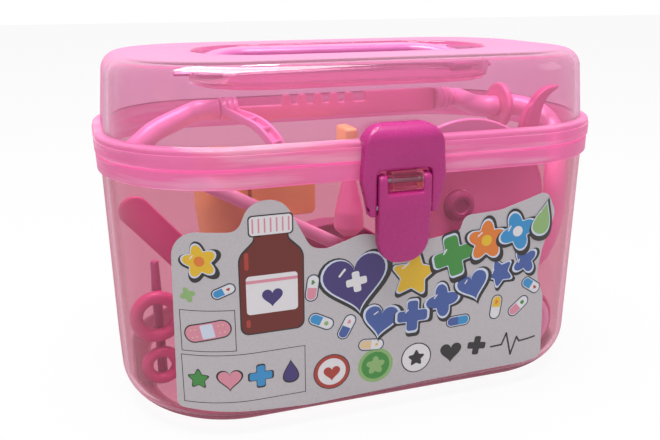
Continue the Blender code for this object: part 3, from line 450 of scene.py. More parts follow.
def sweepMesh(path, radius, segments=24):
    # a round section carried along a path without twisting, with rounded ends
    edge = 0.5 * mm
    along = [(b - a).normalized() for a, b in zip(path, path[1:])]
    along = [along[0]] + [(a + b).normalized() for a, b in zip(along, along[1:])] + [along[-1]]
    turn = along[0].to_track_quat("Z", "Y").to_matrix()
    stations = []
    for point, ahead in zip(path, along):
        turn = (turn @ Vector((0, 0, 1))).rotation_difference(ahead).to_matrix() @ turn
        stations.append((point, turn))
    angles = [2 * math.pi * k / segments for k in range(segments)]

    def row(station, size, ahead=0.0):
        point, turn = station
        return [point + turn @ Vector((size * math.cos(a), size * math.sin(a), ahead)) for a in angles]

    ends = ((edge, 0.0), (edge * 0.3, edge * 0.3), (0.0, edge))
    rows = [row(stations[0], radius - inset, back) for inset, back in ends]
    rows += [row(station, radius) for station in stations[1:-1]]
    rows += [row(stations[-1], radius - inset, -back) for inset, back in ends[::-1]]
    return skinMesh(rows)


frontView = Matrix(((1, 0, 0, 0), (0, 0, -1, 0), (0, 1, 0, 0), (0, 0, 0, 1)))  # u, v to X, Z; w to the front
sideView = Matrix(((0, 0, 1, 0), (1, 0, 0, 0), (0, 1, 0, 0), (0, 0, 0, 1)))  # u, v, w to Y, Z, X


gap = 0.3 * mm  # left between pieces
case = lengths(
    halfLength=105, halfDepth=65, corner=50, height=139.7, wall=1.8, seam=104.4, rimRound=0.8,
    rootDepth=1.0, blockEdge=0.4, lidFlangeHeight=7.2, lidWallInset=3.6, lidDraft=2.0, topRound=8,
    flangeRound=1.1, flangeFoot=0.5, beltMargin=0.6, bead=2.1, beadStep=0.4, beadEdge=0.12,
    beadSlope=0.3, tubFlangeHeight=6.9, tubFlangeInset=0.4, tubWallInset=2.2, tubDraft=0.8,
    bottomRound=16, wellHalfLength=64, wellHalfWidth=29, wellDepth=11.5, wellRim=1.0, wellFoot=1.8,
    wellDraft=0.6, wellUnder=0.8, hingeSpacing=76, hingeRadius=3.5, knuckleWidth=14, earWidth=4,
    pinRadius=1.0, footBand=7.0, lugWidth=12.8, lugRadius=3.5, lugEdge=0.5, lugBore=9, knuckleBore=9,
    earBore=13, handleBore=6, handleBoreRadius=1.55, handleRise=4.0, pinSlack=0.1,
) | {"quarter": 30, "wellCorner": 0.94}
hingeAxis = Vector((0, 69.0 * mm, case["seam"]))
leverAxis = Vector((0, -68.4 * mm, 97.45 * mm))
hookAxis = Vector((0, -68.4 * mm, 87.45 * mm))
wellFloor = case["height"] - case["wellDepth"]
handleAxis = Vector((0, 0, wellFloor + case["handleRise"]))
pinBore = case["pinRadius"] + case["pinSlack"]


def roundedPlaces(halfLength, halfDepth, corner, height):
    places = []
    steps = case["quarter"]
    for quarter, (sideX, sideY) in enumerate(((1, 1), (-1, 1), (-1, -1), (1, -1))):
        for k in range(steps + 1):
            angle = math.pi / 2 * (quarter + k / steps)
            x = sideX * (halfLength - corner) + corner * math.cos(angle)
            y = sideY * (halfDepth - corner) + corner * math.sin(angle)
            places.append(Vector((x, y, height)))
    return places


def caseLoop(inset, height):
    return roundedPlaces(
        case["halfLength"] - inset, case["halfDepth"] - inset, case["corner"] - inset, height
    )


def wellLoop(inset, height):
    half = case["wellHalfWidth"] - inset
    return roundedPlaces(case["wellHalfLength"] - inset, half, half * case["wellCorner"], height)


def hingeOutline(webEdge, side):
    radius, corner = case["hingeRadius"], case["hingeRadius"] * 0.98
    root = case["halfDepth"] - case["tubFlangeInset"] - case["rootDepth"]
    y, z = hingeAxis.y, hingeAxis.z
    return roundCorners([
        (root, z + side * radius, 0), (y + radius, z + side * radius, corner),
        (y + radius, z - side * radius, corner), (y - radius, z - side * radius, corner),
        (y - radius, webEdge, 0), (root, webEdge, 0),
    ])


def sideBlock(outline, low, high, edge):
    return carry(plateMesh(outline, high - low, edge, edge), sideView, (low, 0, 0))


def makeLid():
    c = case
    seam, top, wall = c["seam"], c["height"], c["wall"]
    flangeTop = seam + c["lidFlangeHeight"]
    bead, step = flangeTop - c["bead"], c["beadStep"]
    topInset, topRound = c["lidWallInset"] + c["lidDraft"], c["topRound"]
    r, wallInset, foot = c["rimRound"], c["lidWallInset"], c["flangeFoot"]
    outer = arc((r, seam + r), r, 270, 180, 4)
    outer += [(0, bead - c["beadSlope"]), (c["beadEdge"], bead), (step, bead + c["beadEdge"])]
    r = c["flangeRound"]
    outer += arc((step + r, flangeTop - r), r, 180, 90, 5)
    outer += [(wallInset - foot, flangeTop), (wallInset, flangeTop + foot)]
    centre = (topInset + topRound, top - topRound)
    outer += arc(centre, topRound, 180, 90, 12)
    inner = arc(centre, topRound - wall, 90, 180, 10)
    inner += [(wallInset + wall, flangeTop), (wallInset + wall, seam)]
    draft, under, rim, foot = c["wellDraft"], c["wellUnder"], c["wellRim"], c["wellFoot"]
    rows = [
        wellLoop(draft + foot - wall, wellFloor - wall), wellLoop(draft - wall, wellFloor - wall + 1.6 * mm),
        wellLoop(-wall, top - wall - under), wellLoop(-wall - under, top - wall),
    ]
    rows += [caseLoop(inset, height) for inset, height in inner + outer]
    well = arc((-rim, top - rim), rim, 90, 0, 5) + arc((draft + foot, wellFloor + foot), foot, 180, 270, 5)
    rows += [wellLoop(inset, height) for inset, height in well]
    lid = finishPiece(skinMesh(rows), "lidShell", "lidPlastic", "lid")
    for side in (-1, 1):
        middle, half = side * c["hingeSpacing"] / 2, c["knuckleWidth"] / 2
        outline = hingeOutline(seam + c["rootDepth"], 1)
        combine(lid, sideBlock(outline, middle - half, middle + half, c["blockEdge"]), "UNION")
        cutBore(lid, hingeAxis, c["knuckleBore"], pinBore, middle)
    cutBore(lid, handleAxis, c["wellHalfLength"] + c["handleBore"], c["handleBoreRadius"])
    paintBelt(lid, 0, flangeTop + c["beltMargin"])


def paintBelt(piece, low, high, finish="beltPlastic", flattest=2.0):
    # the thick rims hold more colour than the walls; the foot's bend is painted a deeper, darker pink as
    # painted shade along the bottom edge; the lug and flat floor stay clear
    piece.data.materials.append(finishes[finish])
    belt = len(piece.data.materials) - 1
    for face in piece.data.polygons:
        clear = face.center.y < -case["halfDepth"] - case["beltMargin"] or abs(face.normal.z) > flattest
        if low < face.center.z < high and not clear:
            face.material_index = belt


def makeTub():
    c = case
    wall, rim = c["wall"], c["seam"] - gap
    flangeLow = c["seam"] - c["tubFlangeHeight"]
    low, flange = c["tubWallInset"] + c["tubDraft"], c["tubFlangeInset"]
    centre = (low + c["bottomRound"], c["bottomRound"])
    outer = arc(centre, c["bottomRound"], 270, 180, 16)
    edge, r = c["blockEdge"], c["rimRound"]
    outer += [(c["tubWallInset"], flangeLow - edge), (c["tubWallInset"] - edge, flangeLow)]
    outer += arc((flange + r, flangeLow + r), r, 270, 180, 4) + arc((flange + r, rim - r), r, 180, 90, 4)
    inner = [(c["tubWallInset"] + wall, rim), (c["tubWallInset"] + wall, flangeLow)]
    inner += arc(centre, c["bottomRound"] - wall, 180, 270, 14)
    bm = skinMesh([caseLoop(inset, height) for inset, height in outer + inner])
    tub = finishPiece(bm, "tubShell", "tubPlastic", node="base_tub")
    radius, back = c["lugRadius"], -(c["halfDepth"] - flange - c["rootDepth"])
    y, z = leverAxis.y, leverAxis.z
    half, corner = c["lugWidth"] / 2, radius * 0.45
    lug = roundCorners([
        (y - radius, z - radius, corner), (y - radius, z + radius, corner),
        (back, z + radius, 0), (back, z - radius, 0),
    ])
    combine(tub, sideBlock(lug, -half, half, c["lugEdge"]), "UNION")
    cutBore(tub, leverAxis, c["lugBore"], pinBore)
    for side in (-1, 1):
        middle = side * c["hingeSpacing"] / 2
        for end in (-1, 1):
            near = middle + end * (c["knuckleWidth"] / 2 + gap)
            far = near + end * c["earWidth"]
            outline = hingeOutline(rim - c["rootDepth"], -1)
            combine(tub, sideBlock(outline, min(near, far), max(near, far), edge), "UNION")
        cutBore(tub, hingeAxis, c["earBore"], pinBore, middle)
    paintBelt(tub, flangeLow - c["beltMargin"], 1)
    # painted shade: the foot band gets the darker pink
    paintBelt(tub, -1, c["footBand"], "paintedShadeFootPlastic", 0.97)


# half lengths, and the rounding of the ends
pins = lengths(hinge=11.3, lever=10.35, hook=12.95, edge=0.25)


def makePin(name, axis, half, middle=0.0, body="case"):
    bm = roundBar(case["pinRadius"], (middle - half, *axis.yz), (middle + half, *axis.yz), pins["edge"])
    finishPiece(bm, name, "steel", body)


def makePins():
    for side, name in ((-1, "Left"), (1, "Right")):
        makePin("hingePin" + name, hingeAxis, pins["hinge"], side * case["hingeSpacing"] / 2)
    makePin("leverPin", leverAxis, pins["lever"])
    makePin("hookPin", hookAxis, pins["hook"], body="lever")


makeLid()
makeTub()
makePins()
print("case ready")


def along(table, at):
    # a value between the rows of a (place, value) table
    for (a, low), (b, high) in zip(table, table[1:]):
        if at <= b:
            return low + (high - low) * max(at - a, 0) / (b - a)
    return table[-1][1]


def cutAcross(bm, at, normal):
    bmesh.ops.bisect_plane(
        bm, geom=bm.verts[:] + bm.edges[:] + bm.faces[:], plane_co=at, plane_no=normal, dist=1e-7
    )


def shapeDepth(bm, front, back, middle):
    # cut across at the tables' levels, then the front and back follow their own side lines
    for z, _ in front + back:
        cutAcross(bm, (0, z, 0), (0, 1, 0))
    for vert in bm.verts:
        z, w = vert.co.y, vert.co.z
        vert.co.z = along(front, z) - (middle * 2 - w) if w > middle else along(back, z) + w


hook = lengths(
    width=33, thickness=4.0, rise=6.2, corner=8.5, capRound=5.4, lipRound=1.6, legRadius=3.1,
    footWidth=2.6, shoulder=9.0, standOff=0.8, crownGap=1.2, footRise=1.0, edge=1.15, backEdge=0.5,
    bore=20,
) | {"topShare": 0.91}
lever = lengths(
    width=20.7, armWidth=3.6, armRadius=2.6, thickness=5.4, tipThickness=3.2, crossbar=4.6, length=31.8,
    tipWidth=20.2, tipCorner=9.6, edge=1.2, backEdge=0.5, flank=60, tipRound=1.2, tipBackRound=1.0,
    bore=14,
)


def roundTable(centre, radius, start, end, steps=8):
    # (height, depth) along an arc, from low to high
    return sorted((z, y) for y, z in arc(centre, radius, start, end, steps))


def makeHook():
    h = hook
    flangeTop = case["seam"] + case["lidFlangeHeight"]
    back = case["halfDepth"] + h["standOff"]
    front = back + h["thickness"]
    lipBack = back - case["lidWallInset"]
    lipLow, top = flangeTop + gap, flangeTop + h["rise"]
    foot = hookAxis.z - h["legRadius"]
    half, inner = h["width"] / 2, lever["width"] / 2 + gap
    outer = inner + h["footWidth"]
    crown = leverAxis.z + lever["armRadius"] + h["crownGap"]
    toe, crownRound = h["footWidth"] * 0.45, h["legRadius"] * 0.5
    outline = roundCorners([
        (-half * h["topShare"], top, h["corner"]), (half * h["topShare"], top, h["corner"]),
        (half, leverAxis.z, h["shoulder"]),
        (outer, foot, toe), (inner, foot, toe), (inner, crown, crownRound),
        (-inner, crown, crownRound), (-inner, foot, toe), (-outer, foot, toe),
        (-half, leverAxis.z, h["shoulder"]),
    ], 10)
    r = h["capRound"]
    frontLine = [(0, front)] + roundTable((front - r, top - r), r, 0, 88)
    r = h["lipRound"]
    legBack = -hookAxis.y - h["legRadius"]
    backLine = [
        (0, legBack), (foot + h["footRise"], legBack), (hookAxis.z + h["legRadius"], back),
        (lipLow - 0.05 * mm, back), (lipLow, lipBack),
    ] + roundTable((lipBack + r, top - r), r, 180, 92)
    bm = plateMesh(outline, h["thickness"], h["edge"], h["backEdge"])
    shapeDepth(bm, frontLine, backLine, h["thickness"] / 2)
    carry(bm, frontView)
    piece = finishPiece(bm, "latchHook", "latchPlastic", "hook", sharp=60)
    cutBore(piece, hookAxis, h["bore"], pinBore)


def makeLever():
    v = lever
    back = -leverAxis.y - v["armRadius"]
    front = back + v["thickness"]
    top, tip = leverAxis.z + v["armRadius"], leverAxis.z - v["length"]
    half, flank = v["width"] / 2, v["flank"]
    inner, crossbar = half - v["armWidth"], leverAxis.z - v["crossbar"]
    armRound = v["armWidth"] * 0.45
    outline = roundCorners([
        (-half, top, armRound), (-inner, top, armRound), (-inner, crossbar, 0.5 * mm),
        (inner, crossbar, 0.5 * mm), (inner, top, armRound), (half, top, armRound),
        (half, hookAxis.z, flank), (v["tipWidth"] / 2, tip, v["tipCorner"]),
        (-v["tipWidth"] / 2, tip, v["tipCorner"]), (-half, hookAxis.z, flank),
    ], 10)
    slack = (v["thickness"] - v["tipThickness"]) / 2
    r = v["tipRound"]
    frontLine = roundTable((front - slack - r, tip + r), r, -85, 0, 5)
    for rise, sink in ((-4, 0.2), (0, 0), (3, 0.05)):
        frontLine.append((hookAxis.z + rise * mm, front - sink * mm))
    r = v["tipBackRound"]
    backLine = roundTable((back + slack + r, tip + r), r, -95, -180, 5)
    r, eye = v["armRadius"], (-leverAxis.y, leverAxis.z)
    frontLine += roundTable(eye, r, 4, 85, 7)
    backLine += [(hookAxis.z - r, back)] + roundTable(eye, r, 180, 95, 7)
    bm = plateMesh(outline, v["thickness"], v["edge"], v["backEdge"])
    shapeDepth(bm, frontLine, backLine, v["thickness"] / 2)
    carry(bm, frontView)
    piece = finishPiece(bm, "latchLever", "latchPlastic", "lever", sharp=60)
    for axis in (leverAxis, hookAxis):
        cutBore(piece, axis, v["bore"], pinBore)


handle = lengths(
    width=9.0, thickness=6.4, rimGap=1.8, pin=1.45, pinReach=6.0, boss=3.4, round=2.6, root=1.0,
    bossEdge=0.5, pinEdge=0.3,
) | {"lean": 9}


def makeHandle():
    g = handle
    corner = case["wellHalfWidth"] * case["wellCorner"]
    reach = corner - g["rimGap"] - g["width"] / 2
    arcX, sideY = case["wellHalfLength"] - corner, case["wellHalfWidth"] - corner
    line = [(arcX + reach, 0)] + arc((arcX, sideY), reach, 0, 90, 24)
    line += [(-x, y) for x, y in line[::-1]]
    u, v, r = g["width"] / 2, g["thickness"] / 2, g["round"]
    section = roundCorners([(u, v, r), (-u, v, r), (-u, -v, r), (u, -v, r)], 6)
    rows = []
    for (x, y), ahead in zip(line, directions([Vector(point) for point in line])):
        rows.append([Vector((x + ahead.y * a, y - ahead.x * a, b)) for a, b in section])
    bm = skinMesh(rows)
    carry(bm, Matrix.Rotation(math.radians(g["lean"]), 4, "X"), handleAxis)
    piece = finishPiece(bm, "carryHandle", "handlePlastic", "handle", sharp=50)
    tip = case["wellHalfLength"] + case["wall"] + g["pinReach"]
    for side in (-1, 1):
        root = side * (arcX + reach - g["width"] / 2 - g["root"])
        face = side * (arcX + reach + g["width"] / 2)
        step, length = abs(face - root), tip - abs(root)
        profile = roundCorners([
            (0, 0, 0), (g["boss"], 0, g["bossEdge"]), (g["boss"], step, g["bossEdge"]),
            (g["pin"], step, 0), (g["pin"], length, g["pinEdge"]), (0, length, 0),
        ], 4)
        combine(piece, spinMesh(profile, (root, *handleAxis.yz), (side, 0, 0)), "UNION")


makeHook()
makeLever()
makeHandle()
print("latch and handle ready")


def flat(x, z):
    return Vector((x * mm, z * mm))


def frontPlate(outline, near, far, edge):
    # a flat outline in x and z between two depths
    return carry(plateMesh(outline, far - near, edge, edge), frontView, (0, far, 0))


def ribbon(points, widths, steps=8):
    # the outline of a bar with round ends along a smooth line
    line = smoothPath(points, steps)
    last = len(line) - 1
    left, right = [], []
    for i, (point, ahead) in enumerate(zip(line, directions(line))):
        side = Vector((-ahead.y, ahead.x))
        at = i / last * (len(widths) - 1)
        k = min(int(at), len(widths) - 2)
        width = widths[k] + (widths[k + 1] - widths[k]) * (at - k)
        left.append(point + side * width / 2)
        right.append(point - side * width / 2)

    def endArc(first, final, turns=10):
        middle = (first + final) / 2
        return [middle + Matrix.Rotation(-math.pi * k / turns, 2) @ (first - middle) for k in range(1, turns)]

    return left + endArc(left[-1], right[-1]) + right[::-1] + endArc(right[0], left[0])


def tubePath(points, steps=8):
    first, last = Vector(points[0]), Vector(points[-1])
    return [first, *smoothPath(points[1:-1], steps, (first, last)), last]


def addMesh(bm, other):
    mesh = meshFrom(other, "joined")
    bm.from_mesh(mesh)
    bpy.data.meshes.remove(mesh)


label = {
    "thickness": 0.25 * mm, "film": 0.012 * mm, "flatHalf": 52 * mm, "strip": 2.5 * mm,
    # (across, height, corner) in mm, from the bottom left round to the bottom right
    "outline": (
        (-86.2, 12.2, 2.5), (-84.2, 82.5, 10), (-60.5, 82.0, 5), (-56.2, 92.4, 8.0), (-44.2, 93.4, 9),
        (-33.6, 73.0, 6), (-27.5, 72.4, 6), (-14.0, 76.6, 10), (12.8, 71.4, 6), (26.4, 73.2, 1.8),
        (28.4, 79.4, 4), (44.0, 80.2, 12), (65.5, 86.2, 5.5), (71.6, 76.0, 5), (65.5, 61.5, 8),
        (63.6, 50.0, 10), (68.4, 40.0, 6), (70.6, 10.8, 3), (15.0, 10.2, 60), (-34.8, 8.7, 60),
    ),
}


def wallPoint(across, height, standOff):
    # a point off the front wall, at a distance along its outline from the middle
    rise = (height - case["bottomRound"]) / (case["seam"] - case["tubFlangeHeight"] - case["bottomRound"])
    inset = case["tubWallInset"] + case["tubDraft"] * (1 - min(max(rise, 0), 1))
    corner = case["corner"] - inset
    straight = case["halfLength"] - inset - corner
    front = -(case["halfDepth"] - inset)
    beyond = abs(across) - straight
    if beyond <= 0:
        return Vector((across, front - standOff, height))
    turn, out = beyond / corner, corner + standOff
    x = math.copysign(straight + out * math.sin(turn), across)
    return Vector((x, front + corner - out * math.cos(turn), height))


def bendOnWall(bm, standOff):
    # flat (across, height, w) to the wall, cut into narrow strips where the wall is round
    reach = max(abs(v.co.x) for v in bm.verts)
    for side in (-1, 1):
        for k in range(int(max(reach - label["flatHalf"], 0) / label["strip"]) + 1):
            cutAcross(bm, (side * (label["flatHalf"] + k * label["strip"]), 0, 0), (1, 0, 0))
    for height in (case["bottomRound"], case["seam"] - case["tubFlangeHeight"]):
        cutAcross(bm, (0, height, 0), (0, 1, 0))
    for vert in bm.verts:
        vert.co = wallPoint(vert.co.x, vert.co.y, standOff + vert.co.z)


def makeLabel():
    outline = roundCorners([(u * mm, v * mm, r * mm) for u, v, r in label["outline"]], 8)
    bm = plateMesh(outline[::-1], label["thickness"])
    bendOnWall(bm, gap)
    finishPiece(bm, "labelSheet", "paper", node="front_label")


def around(steps, pointAt):
    # the points of a closed curve, one for each angle
    return [pointAt(2 * math.pi * k / steps) for k in range(steps)]


def heartPoint(t):
    fall = 13 * math.cos(t) - 5 * math.cos(2 * t) - 2 * math.cos(3 * t) - math.cos(4 * t)
    return math.sin(t) ** 3, fall / 16


def waveRound(count, low):
    # a circle with soft petals; a small low gives deep ones
    def petalPoint(t):
        r = low + (1 - low) * (0.5 + 0.5 * math.cos(count * t)) ** 0.7
        return r * math.sin(t), r * math.cos(t)

    return around(96, petalPoint)[::-1]


def dropPoint(t):
    return math.sin(t) * math.sin(t / 2) ** 1.6 * 0.95, math.cos(t)


def crossShape(arm=0.36, corner=0.2):
    quarter = [(arm, 1, corner), (-arm, 1, corner), (-arm, arm, 0.06)]
    turns = [quarter]
    for _ in range(3):
        turns.append([(-v, u, r) for u, v, r in turns[-1]])
    return roundCorners([point for turn in turns for point in turn], 5)


def barShape(length, width, corner=0.999, steps=8):
    # a bar to both sides of its middle; the corners' share of the width makes its ends round
    signs = ((1, 1), (-1, 1), (-1, -1), (1, -1))
    return roundCorners([(length * u, width * v, width * corner) for u, v in signs], steps)


def starShape(points=5, depth=0.5):
    corners = []
    for k in range(points):
        for half, r, rounding in ((0, 1, 0.12), (1, depth, 0.08)):
            t = math.pi * (2 * k + half) / points
            corners.append((-r * math.sin(t), r * math.cos(t), rounding))
    return roundCorners(corners, 5)


shapes = {
    "heart": around(48, heartPoint)[::-1], "flower": waveRound(5, 0.62), "petals": waveRound(4, 0.55),
    "disc": around(40, lambda t: (math.cos(t), math.sin(t))), "drop": around(40, dropPoint)[::-1],
    "plus": crossShape(), "star": starShape(),
}
inks = {
    "Black": "#262022", "Pale": "#c4cbdd", "White": "#d6d2d6", "Purple": "#3d2e6c", "Yellow": "#d9ae22",
    "Green": "#3b8538", "Leaf": "#86a96a", "Orange": "#d4742a", "Blue": "#3f5596", "Sky": "#2f86bd",
    "Red": "#a3342a", "Dark": "#651a12", "Rose": "#cf8496", "Cream": "#d6b890",
}
for name, colour in inks.items():
    finishes["ink" + name] = coatedPaper("printInk" + name, colour, colour, 0.36)
printed = {name: [] for name in inks}  # flat outlines in mm with their layer


def ink(colour, layer, points, middle=(0, 0), size=1.0, turn=0.0):
    spin = Matrix.Rotation(math.radians(turn), 2)
    shape = shapes[points] if isinstance(points, str) else points
    printed[colour].append((layer, [Vector(middle) + spin @ Vector((u * size, v * size)) for u, v in shape]))


def beside(middle, across, up, turn):
    # a point of a turned picture
    return Vector(middle) + Matrix.Rotation(math.radians(turn), 2) @ Vector((across, up))


def bubble(kind, middle, size, colour, turn, rim, halo, layer=0):
    # a shape in colour with a pale and a black line round it and a light streak on it
    ink("Black", layer, kind, Vector(middle) + Vector((0.5, -0.5)), size + rim + halo, turn)
    ink("Pale", layer + 1, kind, middle, size + halo, turn)
    ink(colour, layer + 2, kind, middle, size, turn)
    streak = barShape(0.16 * size, 0.035 * size)
    ink("White", layer + 3, streak, beside(middle, -size * 0.38, size * 0.34, turn), 1.0, turn + 42)


def capsule(middle, colour, other, turn, mark, length=5.0, width=2.15):
    ink("Black", 0, barShape(length + 0.45, width + 0.45), middle, 1.0, turn)
    ink("Pale", 1, barShape(length, width), middle, 1.0, turn)
    ends = barShape(length - 0.35, width - 0.35)
    for side, fill in ((-1, colour), (1, other)):
        half = [(u, v) if u * side > 0 else (0.0, v) for u, v in ends]
        ink(fill, 2, [p for i, p in enumerate(half) if p != half[i - 1]], middle, 1.0, turn)
    if mark:
        ink(mark[1], 3, mark[0], beside(middle, length * 0.45, 0, turn), width * 0.42, turn)


def plaster(middle, turn, length, width):
    ink("Black", 0, barShape(length + 0.5, width + 0.5), middle, 1.0, turn)
    ink("Rose", 1, barShape(length, width), middle, 1.0, turn)
    pad = width * 0.86
    corners = [(2.4 * u, pad * v, 0.5) for u, v in ((1, 1), (-1, 1), (-1, -1), (1, -1))]
    ink("Pale", 2, roundCorners(corners, 4), middle, 1.0, turn)
    for u in (-0.72, -0.52, 0.52, 0.72):
        for v in (-0.45, 0.45):
            ink("Cream", 2, "disc", beside(middle, u * length, v * width, turn), 0.28)


def frameLine(low, high, left, right, line=0.28):
    # a thin plain frame of four bars
    for u0, v0, u1, v1 in (
        (left, low, right, low + line), (left, high - line, right, high),
        (left, low, left + line, high), (right - line, low, right, high),
    ):
        ink("Black", 0, [(u0, v0), (u1, v0), (u1, v1), (u0, v1)])


def bottle(middle):
    # a dark medicine bottle with a white cap and a plain tag
    body = [
        (11.6, -27, 3.2), (11.6, 3, 6.5), (6.0, 8.4, 2.5), (6.0, 12, 0.5),
        (-6.0, 12, 0.5), (-6.0, 8.4, 2.5), (-11.6, 3, 6.5), (-11.6, -27, 3.2),
    ]
    line = [(u + math.copysign(0.5, u), v + (0.5 if v > 0 else -0.5), r) for u, v, r in body]
    ink("Black", 0, roundCorners(line, 8), middle)
    ink("Dark", 1, roundCorners(body, 8), middle)
    blocks = [
        ("Red", 2, -9.9, -2.0, -8.4, 4.6, 0.7), ("Red", 2, -9.9, -24.6, -8.4, -21.4, 0.7),
        ("Black", 1, -8.3, 10.2, 8.3, 18.2, 1.6), ("White", 2, -7.8, 10.7, 7.8, 17.7, 1.3),
        ("White", 2, -9.6, -19.5, 9.6, -4.5, 1.4), ("Rose", 3, -9.6, -7.4, 9.6, -6.2, 0.2),
    ]
    blocks[4:4] = [("Rose", 3, -6.9 + k * 2.2, 11.5, -6.3 + k * 2.2, 16.9, 0.25) for k in range(7)]
    for colour, layer, left, low, right, high, r in blocks:
        corners = [(right, high, r), (left, high, r), (left, low, r), (right, low, r)]
        ink(colour, layer, roundCorners(corners, 8), middle)
    ink("Purple", 3, "heart", beside(middle, 0, -13.2, 0), 3.9)


def pulse(points, width):
    # one thin angled line, made of a short bar for each stretch
    for (u0, v0), (u1, v1) in zip(points[:-1], points[1:]):
        turn = math.degrees(math.atan2(v1 - v0, u1 - u0))
        bar = barShape(math.hypot(u1 - u0, v1 - v0) / 2 + width / 2, width / 2)
        ink("Black", 0, bar, ((u0 + u1) / 2, (v0 + v1) / 2), 1.0, turn)


def drawLabel():
    bottle((-48.6, 69.5))
    bubble("flower", (-74.2, 71.5), 6.2, "Yellow", 12, 1.3, 0.7)
    ink("Orange", 4, "disc", (-74.2, 71.5), 1.9)
    capsule((-66.2, 60.0), "Sky", "White", 24, ("heart", "Red"), 4.2, 1.7)
    ink("Leaf", 1, "petals", (-79.2, 58.5), 3.0, 20)
    frameLine(36.0, 52.6, -82.8, -62.4)
    plaster((-72.6, 44.3), 12, 8.4, 3.2)
    frameLine(14.6, 34.6, -83.2, -36.4)
    row = (("star", "Green"), ("heart", "Rose"), ("plus", "Sky"), ("drop", "Purple"))
    for k, (kind, colour) in enumerate(row):
        for fill, layer, size in (("Black", 0, 5.0), (colour, 1, 4.3)):
            ink(fill, layer, kind, (-77.0 + k * 11.6, 24.6), size)
    for k, (kind, middle, size, colour, turn) in enumerate((
        ("heart", (-16.4, 58.4), 12.6, "Purple", 8), ("star", (7.4, 57.6), 10.4, "Yellow", -8),
        ("plus", (24.4, 63.4), 8.4, "Green", 14), ("flower", (38.6, 68.2), 8.2, "Orange", 0),
        ("petals", (52.4, 70.6), 8.0, "Sky", 20), ("drop", (64.2, 74.6), 6.6, "Leaf", -14),
    )):
        bubble(kind, middle, size, colour, turn, 1.7, 0.9, 4 * k)
    ink("White", 4, "plus", (-16.0, 57.8), 4.2, 8)
    ink("Yellow", 16, "disc", (38.6, 68.2), 2.3)
    ink("White", 20, "disc", (52.4, 70.6), 2.2)
    for k, (u, v, kind, size) in enumerate((
        (-5.6, 40.8, "heart", 7.0), (7.6, 40.2, "plus", 6.4), (20.4, 45.0, "petals", 7.0),
        (33.6, 50.2, "heart", 6.6), (45.8, 53.6, "star", 6.8), (57.0, 57.4, "petals", 5.6),
    )):
        bubble(kind, (u, v), size, "Blue", -10 + 9 * k, 1.1, 1.0, 4 * (k % 2) + 2)
    for middle, colour, other, turn, mark in (
        ((-33.4, 57.5), "Rose", "White", 82, ("heart", "Green")),
        ((-30.0, 43.4), "Sky", "White", -28, ("disc", "Leaf")),
        ((-19.8, 39.6), "Blue", "White", 62, ("heart", "Rose")),
        ((-9.6, 30.4), "Cream", "White", -6, ("star", "Yellow")),
        ((28.0, 35.0), "Blue", "Sky", 2, None), ((45.0, 38.6), "White", "Yellow", 84, ("heart", "Orange")),
        ((55.6, 37.6), "Rose", "White", 40, ("disc", "Green")),
        ((61.2, 46.0), "Sky", "White", -34, ("heart", "Red")),
    ):
        capsule(middle, colour, other, turn, mark)
    for colour, layer, kind, middle, size in (
        ("Black", 0, "disc", (-25.8, 21.4), 7.5), ("Red", 1, "disc", (-25.8, 21.4), 7.1),
        ("White", 2, "disc", (-25.8, 21.4), 5.7), ("Red", 3, "heart", (-25.8, 21.0), 3.4),
        ("Leaf", 0, "disc", (-7.6, 21.0), 7.4), ("Green", 1, "disc", (-7.6, 21.0), 5.9),
        ("Leaf", 2, "flower", (-7.6, 21.0), 4.0), ("Black", 0, "disc", (10.0, 21.4), 6.6),
        ("White", 1, "disc", (10.0, 21.4), 6.1), ("Black", 2, "star", (10.0, 21.2), 4.2),
        ("Black", 0, "heart", (25.4, 21.6), 4.8),
    ):
        ink(colour, layer, kind, middle, size)
    ink("Black", 0, "plus", (37.2, 22.4), 4.2, -8)
    beat = ((44.0, 20.6), (49.0, 20.8), (51.0, 25.8), (53.6, 15.6), (56.0, 23.4), (57.4, 21.2), (65.6, 21.6))
    pulse(beat, 0.8)


def printLabel():
    base, film = gap + label["thickness"], label["film"]
    for colour, flats in printed.items():
        bm = bmesh.new()
        for layer, points in flats:
            outline = [(u * mm, v * mm) for u, v in points]
            shape = plateMesh(outline if area(outline) > 0 else outline[::-1], film)
            faceOut(shape)
            if shape.calc_volume(signed=True) < 0:
                bmesh.ops.reverse_faces(shape, faces=shape.faces[:])
            addMesh(bm, carry(shape, Matrix(), (0, 0, layer * film * 1.02)))
        bendOnWall(bm, base)
        finishPiece(bm, "labelPrint" + colour, "ink" + colour, node="", merge=False)


makeLabel()
drawLabel()
printLabel()
print("label ready")


inside = {"end": 100.2, "front": 60.2, "top": 126.4, "seat": 2.1}  # the case's room, in mm


def spot(x, y, z):
    return Vector((x * inside["end"], y * inside["front"], z * inside["top"])) * mm


headset = lengths(
    depth=21.7, height=112.0, left=-42.0, right=54.5, rail=6.6, block=11.4, blockLength=36.0,
    thickness=3.6, toothHeight=4.6, toothStart=-22, toothEnd=16, collar=5.6, collarWidth=7.8,
    earTube=4.8, earTip=6.2, tip=Vector((-91.7, 15.7, 95.5)), flange=Vector((75.1, -2.4, 110.8)),
    flangeRadius=11, bend=3.9, lastBend=3.1,
) | {"teeth": 5, "leftRoute": ((-0.80, 0.35, 0.8177), (-0.64, 0.38, 0.8714))}


